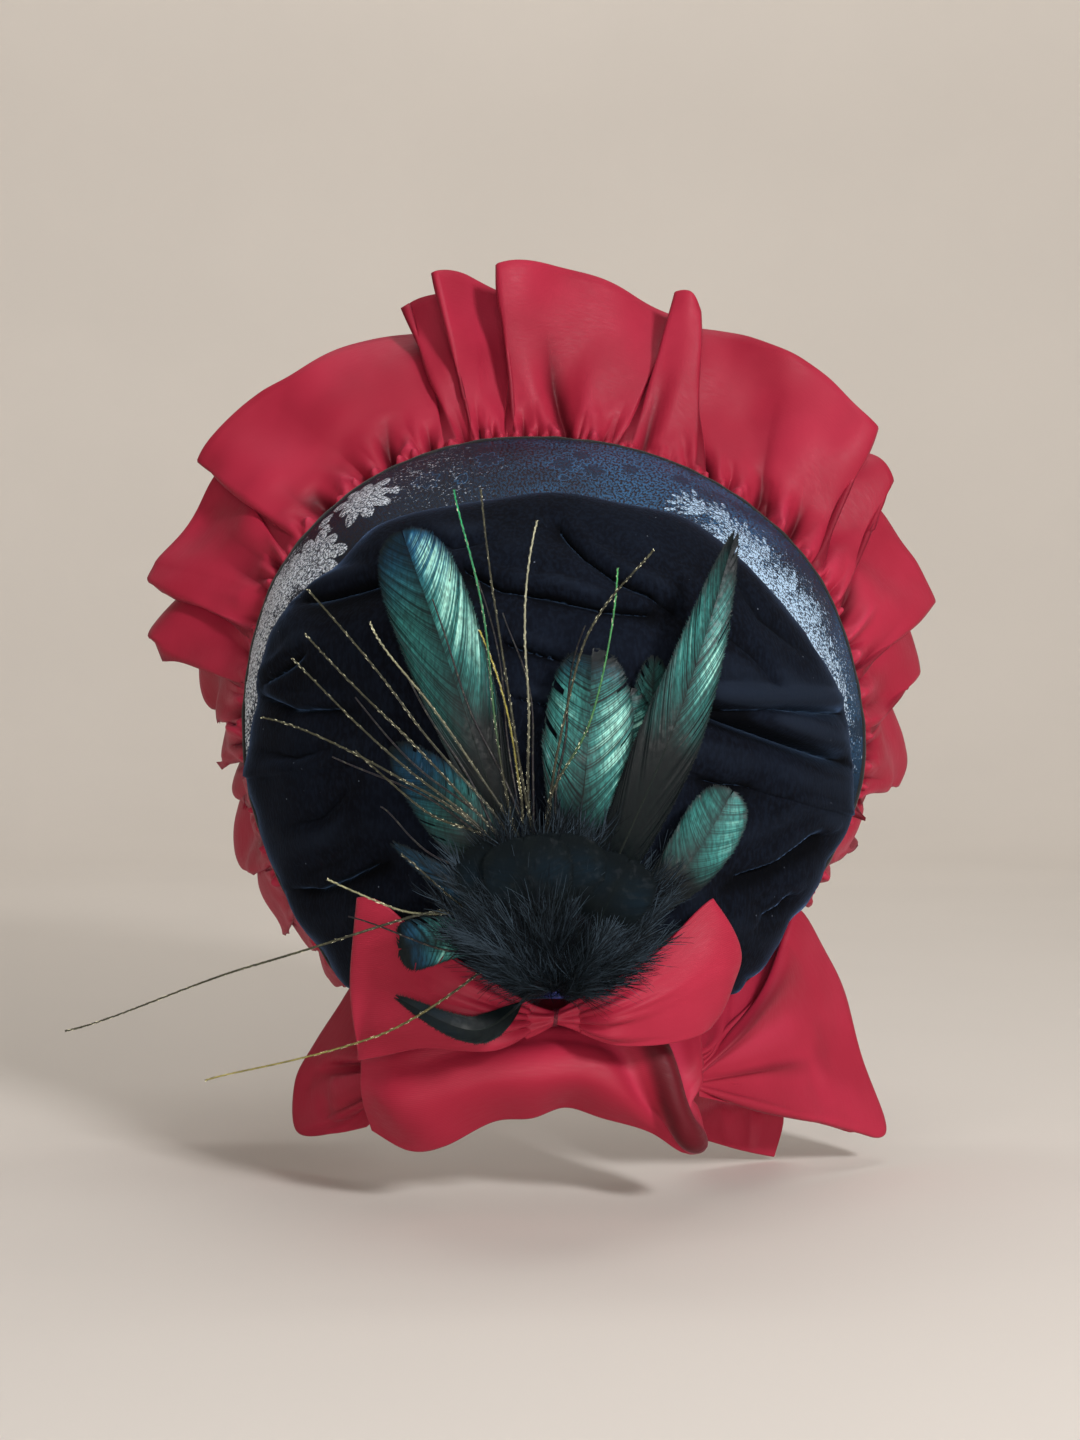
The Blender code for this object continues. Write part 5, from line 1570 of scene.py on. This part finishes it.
def make_wrap(thread):
    """Thread wound round the feathers' feet, over a core, with crossing turns on top."""
    centre = np.array(WRAP_CENTRE)
    vertices, faces = [], []

    def add(more):
        offset = len(vertices)
        vertices.extend(more[0])
        faces.extend(tuple(index + offset for index in face) for face in more[1])

    turns, per_turn = 13, 26
    places = []
    for i in range(turns * per_turn):
        share = i / (turns * per_turn)
        angle = 2 * math.pi * i / per_turn
        bulge = 1 - 0.18 * (2 * share - 1) ** 2
        places.append(centre + np.array([
            math.cos(angle) * WRAP_RADIUS * 1.06 * bulge,
            math.sin(angle) * WRAP_RADIUS * 0.80 * bulge,
            WRAP_HEIGHT * 0.96 * (share - 0.5),
        ]))
    add(tube(places, lambda i: 0.36, 6))
    crossing = []
    for i in range(5 * per_turn):
        share = i / (5 * per_turn)
        angle = 2 * math.pi * i / per_turn + 1.0
        height = WRAP_HEIGHT * 0.42 * math.sin(2 * math.pi * share * 2.5)
        crossing.append(centre + np.array([
            math.cos(angle) * WRAP_RADIUS * 1.17,
            math.sin(angle) * WRAP_RADIUS * 0.92,
            height,
        ]))
    add(tube(crossing, lambda i: 0.30, 6))
    core = [centre + np.array([0.0, 0.0, WRAP_HEIGHT * (k / 8 - 0.5)]) for k in range(9)]
    add(tube(core, lambda i: WRAP_RADIUS * 0.72, 18))
    add_piece("wrap_thread", vertices, faces, (thread,), ("thread_wrap",))


def make_knot(satin, stitch):
    """The bow's pinched centre, with small folds either side and the stitches that hold it."""
    columns, rows = 96, 48
    centre = np.array(KNOT_CENTRE)
    vertices = []
    for i in range(rows + 1):
        tilt = math.pi * i / rows
        side = math.cos(tilt)
        flare = KNOT_WAIST + (1 - KNOT_WAIST) * min(abs(side) * 1.25, 1.0) ** 1.3
        end = min((1 - abs(side)) * 5.0, 1.0) ** 0.5
        for k in range(columns):
            angle = 2 * math.pi * k / columns
            folds = 1 + 0.13 * math.cos(angle * 7 + 2.0 * side) * min(abs(side) * 3, 1)
            vertices.append(centre + np.array([
                side * KNOT_HALF,
                math.cos(angle) * KNOT_DEPTH * folds * end,
                math.sin(angle) * KNOT_HEIGHT * flare * folds * end + 0.6 * math.sin(side * 3),
            ]))
    faces = ring_faces(rows + 1, columns)
    knot = add_piece("bow_knot_satin", vertices, faces, (satin,), ("bow_knot",))
    stitches, stitch_faces = [], []
    for lean in (-0.9, -0.35, 0.25, 0.8):
        places = []
        for k in range(28):
            angle = 2 * math.pi * k / 28
            places.append(centre + np.array([
                lean * 0.8 + 0.4 * math.sin(angle + lean),
                math.cos(angle) * (KNOT_DEPTH + 0.15),
                math.sin(angle) * KNOT_HEIGHT * KNOT_WAIST * 1.15,
            ]))
        more, more_faces = tube(places, lambda i: 0.17, 5, loops=True)
        offset = len(stitches)
        stitches += more
        stitch_faces += [tuple(index + offset for index in face) for face in more_faces]
    add_piece("knot_stitches", stitches, stitch_faces, (stitch,), ())


def new_look(name, colour, roughness, **sockets):
    """A material with its even values set on the shader's own sockets."""
    material = bpy.data.materials.new(name)
    material.use_nodes = True
    shader = material.node_tree.nodes["Principled BSDF"]
    shader.inputs["Base Color"].default_value = (*colour, 1.0)
    shader.inputs["Roughness"].default_value = roughness
    for socket, value in sockets.items():
        shader.inputs[socket.replace("_", " ")].default_value = value
    return material


def node_in(material, kind, **values):
    node = material.node_tree.nodes.new(kind)
    for key, value in values.items():
        if key in node.inputs:
            node.inputs[key].default_value = value
        else:
            setattr(node, key, value)
    return node


def join(material, start, end):
    material.node_tree.links.new(start, end)


def shader_socket(material, name):
    return material.node_tree.nodes["Principled BSDF"].inputs[name]


def noise_at(material, scale, detail=3.0, stretch=None, uv=False, curl=0.0):
    """Noise in metres over the object, or along its cloth, as a value near one half."""
    if uv:
        place = node_in(material, "ShaderNodeUVMap", uv_map="cloth").outputs["UV"]
    else:
        place = node_in(material, "ShaderNodeTexCoord").outputs["Object"]
    if stretch:
        mapping = node_in(material, "ShaderNodeMapping")
        mapping.inputs["Scale"].default_value = stretch
        join(material, place, mapping.inputs["Vector"])
        place = mapping.outputs["Vector"]
    noise = node_in(material, "ShaderNodeTexNoise", Scale=scale, Detail=detail, Distortion=curl)
    join(material, place, noise.inputs["Vector"])
    return noise.outputs["Fac"]


def ranged(material, value, low, high, to_low=0.0, to_high=1.0, smooth=True):
    node = node_in(material, "ShaderNodeMapRange")
    node.interpolation_type = "SMOOTHSTEP" if smooth else "LINEAR"
    node.inputs["From Min"].default_value = low
    node.inputs["From Max"].default_value = high
    node.inputs["To Min"].default_value = to_low
    node.inputs["To Max"].default_value = to_high
    join(material, value, node.inputs["Value"])
    return node.outputs["Result"]


def mixed_colour(material, share, first, second, blend="MIX"):
    """Mix two colours, each a tuple or a socket, by a socket's value or a number."""
    node = node_in(material, "ShaderNodeMix", data_type="RGBA", blend_type=blend)
    for socket, value in ((node.inputs[0], share), (node.inputs[6], first), (node.inputs[7], second)):
        if isinstance(value, bpy.types.NodeSocket):
            join(material, value, socket)
        elif isinstance(value, tuple):
            socket.default_value = (*value, 1.0)
        else:
            socket.default_value = value
    return node.outputs[2]


def attribute_at(material, name, output="Fac"):
    return node_in(material, "ShaderNodeAttribute", attribute_name=name).outputs[output]


def threads(material, period, angle=0.0, distortion=0.6):
    """Fine parallel threads along the cloth's own map, at a period in metres."""
    uv = node_in(material, "ShaderNodeUVMap", uv_map="cloth")
    mapping = node_in(material, "ShaderNodeMapping")
    mapping.inputs["Rotation"].default_value = (0.0, 0.0, math.radians(angle))
    join(material, uv.outputs["UV"], mapping.inputs["Vector"])
    wave = node_in(material, "ShaderNodeTexWave", Scale=0.314 / period, Distortion=distortion)
    join(material, mapping.outputs["Vector"], wave.inputs["Vector"])
    return wave.outputs["Fac"]


def bump(material, height, distance, strength=1.0, under=None):
    node = node_in(material, "ShaderNodeBump", Distance=distance, Strength=strength)
    join(material, height, node.inputs["Height"])
    if under is not None:
        join(material, under, node.inputs["Normal"])
    return node.outputs["Normal"]


def satin_look():
    """Crepe-backed satin: a soft even sheen over very fine crosswise threads, with shade painted into its
    fold valleys and a highlight painted onto its ridges.
    """
    material = new_look("satin_red", SATIN_RED, 0.56, Sheen_Weight=0.08, Sheen_Roughness=0.35,
                        Specular_IOR_Level=0.18)
    shader_socket(material, "Sheen Tint").default_value = (1.0, 0.22, 0.36, 1.0)
    slow = ranged(material, noise_at(material, 22.0), 0.35, 0.68)
    base = mixed_colour(material, slow, SATIN_DEEP, SATIN_RED)
    weft = threads(material, 0.00042, 90.0)
    warp = threads(material, 0.00055, 0.0)
    base = mixed_colour(material, ranged(material, weft, 0.0, 1.0, 0.0, 0.16), base, SATIN_LIT)
    base = mixed_colour(material, ranged(material, warp, 0.0, 1.0, 0.0, 0.12), base, SATIN_DEEP)
    # Painted shade: fold valleys darken towards SATIN_SHADOW, and ridges get a painted highlight of
    # SATIN_LIT
    fold = attribute_at(material, "fold")
    base = mixed_colour(material, ranged(material, fold, -0.95, -0.05, 0.92, 0.0), base, SATIN_SHADOW)
    base = mixed_colour(material, ranged(material, fold, 0.10, 0.80, 0.0, 0.45), base, SATIN_LIT)
    join(material, base, shader_socket(material, "Base Color"))
    slubs = noise_at(material, 260.0, 2.0, (1.0, 6.0, 1.0), uv=True)
    rough = ranged(material, slubs, 0.3, 0.7, 0.48, 0.62)
    join(material, rough, shader_socket(material, "Roughness"))
    normal = bump(material, weft, 0.00003, 0.5)
    normal = bump(material, slubs, 0.00006, 0.5, normal)
    normal = bump(material, noise_at(material, 95.0, 2.0), 0.00012, 0.5, normal)
    join(material, normal, shader_socket(material, "Normal"))
    return material


def velvet_look():
    """Deep black velvet with a bluish nap, brushed in patches, and a little lint, with shade painted into
    its fold valleys and a highlight painted onto its ridges.
    """
    material = new_look("velvet_black", VELVET_DARK, 0.92, Sheen_Weight=VELVET_SHEEN,
                        Sheen_Roughness=0.24, Specular_IOR_Level=0.05)
    shader_socket(material, "Sheen Tint").default_value = (0.28, 0.52, 1.0, 1.0)
    patches = ranged(material, noise_at(material, 34.0, 4.0), 0.38, 0.66)
    nap = ranged(material, noise_at(material, 900.0, 2.0, (1.0, 1.0, 0.5)), 0.35, 0.70)
    base = mixed_colour(material, patches, VELVET_DARK, VELVET_BRUSHED)
    base = mixed_colour(material, ranged(material, nap, 0.0, 1.0, 0.0, 0.45), base, VELVET_LIT)
    place = node_in(material, "ShaderNodeTexCoord").outputs["Object"]
    cells = node_in(material, "ShaderNodeTexVoronoi", Scale=330.0)
    join(material, place, cells.inputs["Vector"])
    split = node_in(material, "ShaderNodeSeparateColor")
    join(material, cells.outputs["Color"], split.inputs["Color"])
    dot = ranged(material, cells.outputs["Distance"], 0.045, 0.10, 1.0, 0.0)
    chosen = ranged(material, split.outputs["Red"], 0.86, 0.90)
    lint = node_in(material, "ShaderNodeMath", operation="MULTIPLY")
    join(material, dot, lint.inputs[0])
    join(material, chosen, lint.inputs[1])
    base = mixed_colour(material, lint.outputs["Value"], base, LINT_GREY)
    # Painted shade: fold valleys darken towards VELVET_SHADOW, and ridges get a painted highlight
    fold = attribute_at(material, "fold")
    base = mixed_colour(material, ranged(material, fold, -0.9, -0.05, 0.9, 0.0), base, VELVET_SHADOW)
    base = mixed_colour(material, ranged(material, fold, 0.12, 0.8, 0.0, 0.8), base, VELVET_RIDGE_HIGHLIGHT)
    join(material, base, shader_socket(material, "Base Color"))
    normal = bump(material, nap, 0.00007, 0.6)
    normal = bump(material, noise_at(material, 120.0, 2.0), 0.00030, 0.4, normal)
    join(material, normal, shader_socket(material, "Normal"))
    return material


def sum_of(material, first, second, factor=1.0):
    """One value plus another times a factor."""
    node = node_in(material, "ShaderNodeMath", operation="MULTIPLY_ADD")
    join(material, second, node.inputs[0])
    node.inputs[1].default_value = factor
    join(material, first, node.inputs[2])
    return node.outputs["Value"]


def larger_of(material, first, second):
    node = node_in(material, "ShaderNodeMath", operation="MAXIMUM")
    join(material, first, node.inputs[0])
    join(material, second, node.inputs[1])
    return node.outputs["Value"]


def brocade_look():
    """Dark satin ground with flowers and lace floated in silver, and others in plain black, and a blue sheen
    painted into the ground where the blue paint runs high.
    """
    material = new_look("brocade_silver", BROCADE_GROUND, 0.50, Specular_IOR_Level=0.10)
    shader_socket(material, "Specular Tint").default_value = (0.55, 0.72, 1.0, 1.0)
    grain = noise_at(material, 1300.0, 2.0, (1.0, 0.6, 1.0), uv=True)
    twill = threads(material, 0.0007, 38.0, 1.2)
    blue = attribute_at(material, "blue")
    ground = mixed_colour(material, ranged(material, grain, 0.40, 0.62), BROCADE_BLACK, BROCADE_GROUND)
    # Painted sheen: where the blue paint runs high, a lighter blue is mixed into the ground's colour
    shine = mixed_colour(material, ranged(material, grain, 0.40, 0.60), BROCADE_DEEP, BROCADE_SHEEN)
    slow = ranged(material, noise_at(material, 30.0, 3.0), 0.36, 0.60, 0.25, 1.0)
    amount = node_in(material, "ShaderNodeMath", operation="MULTIPLY")
    join(material, blue, amount.inputs[0])
    join(material, slow, amount.inputs[1])
    ground = mixed_colour(material, amount.outputs["Value"], ground, shine)
    ground = mixed_colour(material, ranged(material, twill, 0.3, 1.0, 0.0, 0.35), ground, BROCADE_DEEP)
    damask = ranged(material, attribute_at(material, "damask"), -0.12, 0.08, 0.0, 0.7)
    ground = mixed_colour(material, damask, ground, BROCADE_DAMASK)
    # Each black flower gets a ring of the painted sheen's blue
    rim = ranged(material, attribute_at(material, "damask"), -0.42, -0.12, 0.0, 0.75)
    halo = node_in(material, "ShaderNodeMath", operation="SUBTRACT", use_clamp=True)
    join(material, rim, halo.inputs[0])
    join(material, damask, halo.inputs[1])
    ground = mixed_colour(material, halo.outputs["Value"], ground, BROCADE_SHEEN)
    silver = mixed_colour(material, attribute_at(material, "silver"), BROCADE_SHEEN, SILVER)
    curls = noise_at(material, 430.0, 2.0, curl=2.2)
    fine = noise_at(material, 1700.0, 2.0)
    lace = sum_of(material, sum_of(material, curls, fine, 0.45), attribute_at(material, "lace"), 0.62)
    thread = ranged(material, lace, 1.10, 1.17)
    strong = ranged(material, attribute_at(material, "lace"), 0.1, 0.8, 0.35, 1.0)
    silver = mixed_colour(material, strong, silver, SILVER)
    silver = mixed_colour(material, ranged(material, blue, 0.3, 1.0, 0.0, 0.8), silver, SILVER_BLUE)
    floats = noise_at(material, 1300.0, 1.0)
    silver = mixed_colour(material, ranged(material, floats, 0.44, 0.52), SILVER_SHADE, silver)
    ragged = sum_of(material, attribute_at(material, "woven"), curls, 1.5)
    petals = ranged(material, ragged, 0.66, 0.82)
    place = node_in(material, "ShaderNodeTexCoord").outputs["Object"]
    cells = node_in(material, "ShaderNodeTexVoronoi", feature="DISTANCE_TO_EDGE", Scale=520.0)
    join(material, place, cells.inputs["Vector"])
    outlines = ranged(material, cells.outputs["Distance"], 0.02, 0.11, 0.10, 1.0)
    veined = node_in(material, "ShaderNodeMath", operation="MULTIPLY")
    join(material, petals, veined.inputs[0])
    join(material, outlines, veined.inputs[1])
    woven = larger_of(material, veined.outputs["Value"], thread)
    base = mixed_colour(material, woven, ground, silver)
    join(material, base, shader_socket(material, "Base Color"))
    join(material, ranged(material, woven, 0.0, 1.0, 0.0, 0.25), shader_socket(material, "Metallic"))
    join(material, ranged(material, grain, 0.3, 0.7, 0.44, 0.64), shader_socket(material, "Roughness"))
    normal = bump(material, twill, 0.00006, 0.5)
    normal = bump(material, floats, 0.00010, 0.6, normal)
    normal = bump(material, woven, 0.00022, 0.8, normal)
    join(material, normal, shader_socket(material, "Normal"))
    return material


def plain_cloth_look(name, dark, light, period):
    """A plain weave, such as the bias tape or the lining."""
    material = new_look(name, dark, 0.86, Sheen_Weight=0.12, Specular_IOR_Level=0.25)
    warp = threads(material, period, 45.0, 0.8)
    weft = threads(material, period, -45.0, 0.8)
    crossed = node_in(material, "ShaderNodeMath", operation="MULTIPLY")
    join(material, warp, crossed.inputs[0])
    join(material, weft, crossed.inputs[1])
    slow = ranged(material, noise_at(material, 120.0), 0.35, 0.7, 0.0, 0.6)
    base = mixed_colour(material, slow, dark, light)
    base = mixed_colour(material, ranged(material, crossed.outputs["Value"], 0.0, 0.6, 0.5, 0.0), base, dark)
    join(material, base, shader_socket(material, "Base Color"))
    normal = bump(material, crossed.outputs["Value"], 0.00008, 0.7)
    normal = bump(material, noise_at(material, 170.0), 0.0003, 0.5, normal)
    join(material, normal, shader_socket(material, "Normal"))
    return material


def painted_look(name, roughness, glint, specular, glint_colour, grain):
    """Feather looks: the painted colour, broken up along the strands, with glints painted in as specks of
    the glint colour.
    """
    material = new_look(name, (0.02, 0.02, 0.02), roughness, Specular_IOR_Level=specular)
    tint = attribute_at(material, "tint", "Color")
    # Painted glints: specks of the glint colour scattered by noise
    glint_specks = ranged(material, noise_at(material, grain, 2.0), 0.50, 0.72, 0.0, glint)
    base = mixed_colour(material, glint_specks, tint, glint_colour)
    shade = ranged(material, noise_at(material, grain * 0.4, 2.0), 0.30, 0.60, 0.45, 0.0)
    base = mixed_colour(material, shade, base, (0.004, 0.006, 0.006))
    join(material, base, shader_socket(material, "Base Color"))
    rough = ranged(material, glint_specks, 0.0, max(glint, 0.01), roughness, roughness * 0.7)
    join(material, rough, shader_socket(material, "Roughness"))
    return material


def vane_look():
    """A feather's vane: its painted glow, stronger in places, and fine cross-hatching."""
    material = new_look("feather_vane", (0.02, 0.03, 0.03), 0.42, Specular_IOR_Level=0.12)
    tint = attribute_at(material, "tint", "Color")
    hatch = ranged(material, noise_at(material, 1400.0, 2.0, (1.0, 1.0, 0.25)), 0.35, 0.70, 0.0, 0.55)
    base = mixed_colour(material, hatch, tint, (0.004, 0.008, 0.008))
    join(material, base, shader_socket(material, "Base Color"))
    fine = ranged(material, noise_at(material, 700.0, 2.0), 0.3, 0.7, 0.34, 0.52)
    join(material, fine, shader_socket(material, "Roughness"))
    return material


def thread_look(name, colour, lit):
    material = new_look(name, colour, 0.55, Specular_IOR_Level=0.4)
    twist = ranged(material, noise_at(material, 1800.0, 2.0, (1.0, 1.0, 2.5)), 0.35, 0.65)
    join(material, mixed_colour(material, twist, colour, lit), shader_socket(material, "Base Color"))
    join(material, bump(material, twist, 0.00010, 0.6), shader_socket(material, "Normal"))
    join(material, ranged(material, twist, 0.0, 1.0, 0.62, 0.45), shader_socket(material, "Roughness"))
    return material


def floor_look():
    material = new_look("pale_floor", FLOOR_COLOUR, 0.75)
    slow = ranged(material, noise_at(material, 3.0), 0.3, 0.7)
    near = tuple(value * 0.975 for value in FLOOR_COLOUR)
    join(material, mixed_colour(material, slow, FLOOR_COLOUR, near), shader_socket(material, "Base Color"))
    return material


def make_stage():
    """A round pale floor that sweeps up into a wall without an edge."""
    profile = [(0.02, FLOOR_HEIGHT), (SWEEP_START, FLOOR_HEIGHT)]
    for k in range(1, 25):
        angle = math.pi / 2 * k / 24
        profile.append((SWEEP_START + SWEEP_RADIUS * math.sin(angle),
                        FLOOR_HEIGHT + SWEEP_RADIUS * (1 - math.cos(angle))))
    profile.append((SWEEP_START + SWEEP_RADIUS, WALL_TOP))
    around = 96
    vertices = []
    for k in range(around):
        angle = 2 * math.pi * k / around
        vertices += [(out * math.sin(angle), out * math.cos(angle), z) for out, z in profile]
    count = len(profile)
    faces = [tuple(range(0, around * count, count))]
    for k in range(around):
        here, there = k * count, (k + 1) % around * count
        for i in range(count - 1):
            faces.append((here + i, here + i + 1, there + i + 1, there + i))
    mesh = bpy.data.meshes.new("floor")
    mesh.from_pydata(vertices, [], faces)
    mesh.shade_smooth()
    mesh.materials.append(floor_look())
    floor = bpy.data.objects.new("floor", mesh)
    bpy.context.collection.objects.link(floor)


def add_light(name, place, size, energy, colour, target):
    light = bpy.data.lights.new(name, "AREA")
    light.shape = "RECTANGLE"
    light.size, light.size_y = size
    light.energy = energy
    light.color = colour
    item = bpy.data.objects.new(name, light)
    item.location = place
    item.rotation_euler = (Vector(target) - Vector(place)).to_track_quat("-Z", "Y").to_euler()
    bpy.context.collection.objects.link(item)


def make_lights():
    for row in LIGHTS:
        add_light(*row)
    world = bpy.data.worlds.new("soft_room")
    world.use_nodes = True
    back = world.node_tree.nodes["Background"]
    back.inputs["Color"].default_value = (*WORLD_COLOUR, 1.0)
    back.inputs["Strength"].default_value = WORLD_STRENGTH
    bpy.context.scene.world = world
    bpy.context.scene.view_settings.view_transform = "Standard"


def make_camera():
    camera = bpy.data.cameras.new("camera")
    camera.lens = CAMERA_LENS
    camera.sensor_fit = "VERTICAL"
    camera.sensor_height = 36.0
    camera.clip_start = 0.01
    item = bpy.data.objects.new("camera", camera)
    item.location = CAMERA_PLACE
    item.rotation_euler = (math.radians(90), 0.0, 0.0)
    bpy.context.collection.objects.link(item)
    bpy.context.scene.camera = item


def main():
    satin = satin_look()
    lining = plain_cloth_look("lining_black", (0.006, 0.006, 0.007), (0.020, 0.020, 0.023), 0.0006)
    make_crown(velvet_look(), lining)
    make_brim(brocade_look(), lining)
    make_binding(plain_cloth_look("tape_black", (0.005, 0.005, 0.005), (0.020, 0.020, 0.020), 0.0005))
    make_ruffle(satin)
    make_ribbons(satin)
    make_ties(satin)
    make_knot(satin, thread_look("stitch_red", (0.06, 0.006, 0.012), (0.20, 0.02, 0.04)))
    make_feathers(vane_look())
    make_herls(painted_look("herl_olive", 0.38, 0.10, 0.22, (0.60, 0.62, 0.40), 1100.0))
    make_down(painted_look("down_black", 0.78, 0.02, 0.05, (0.05, 0.07, 0.09), 500.0))
    make_wrap(thread_look("thread_navy", (0.006, 0.010, 0.060), (0.020, 0.032, 0.180)))
    make_stage()
    make_lights()
    make_camera()


main()
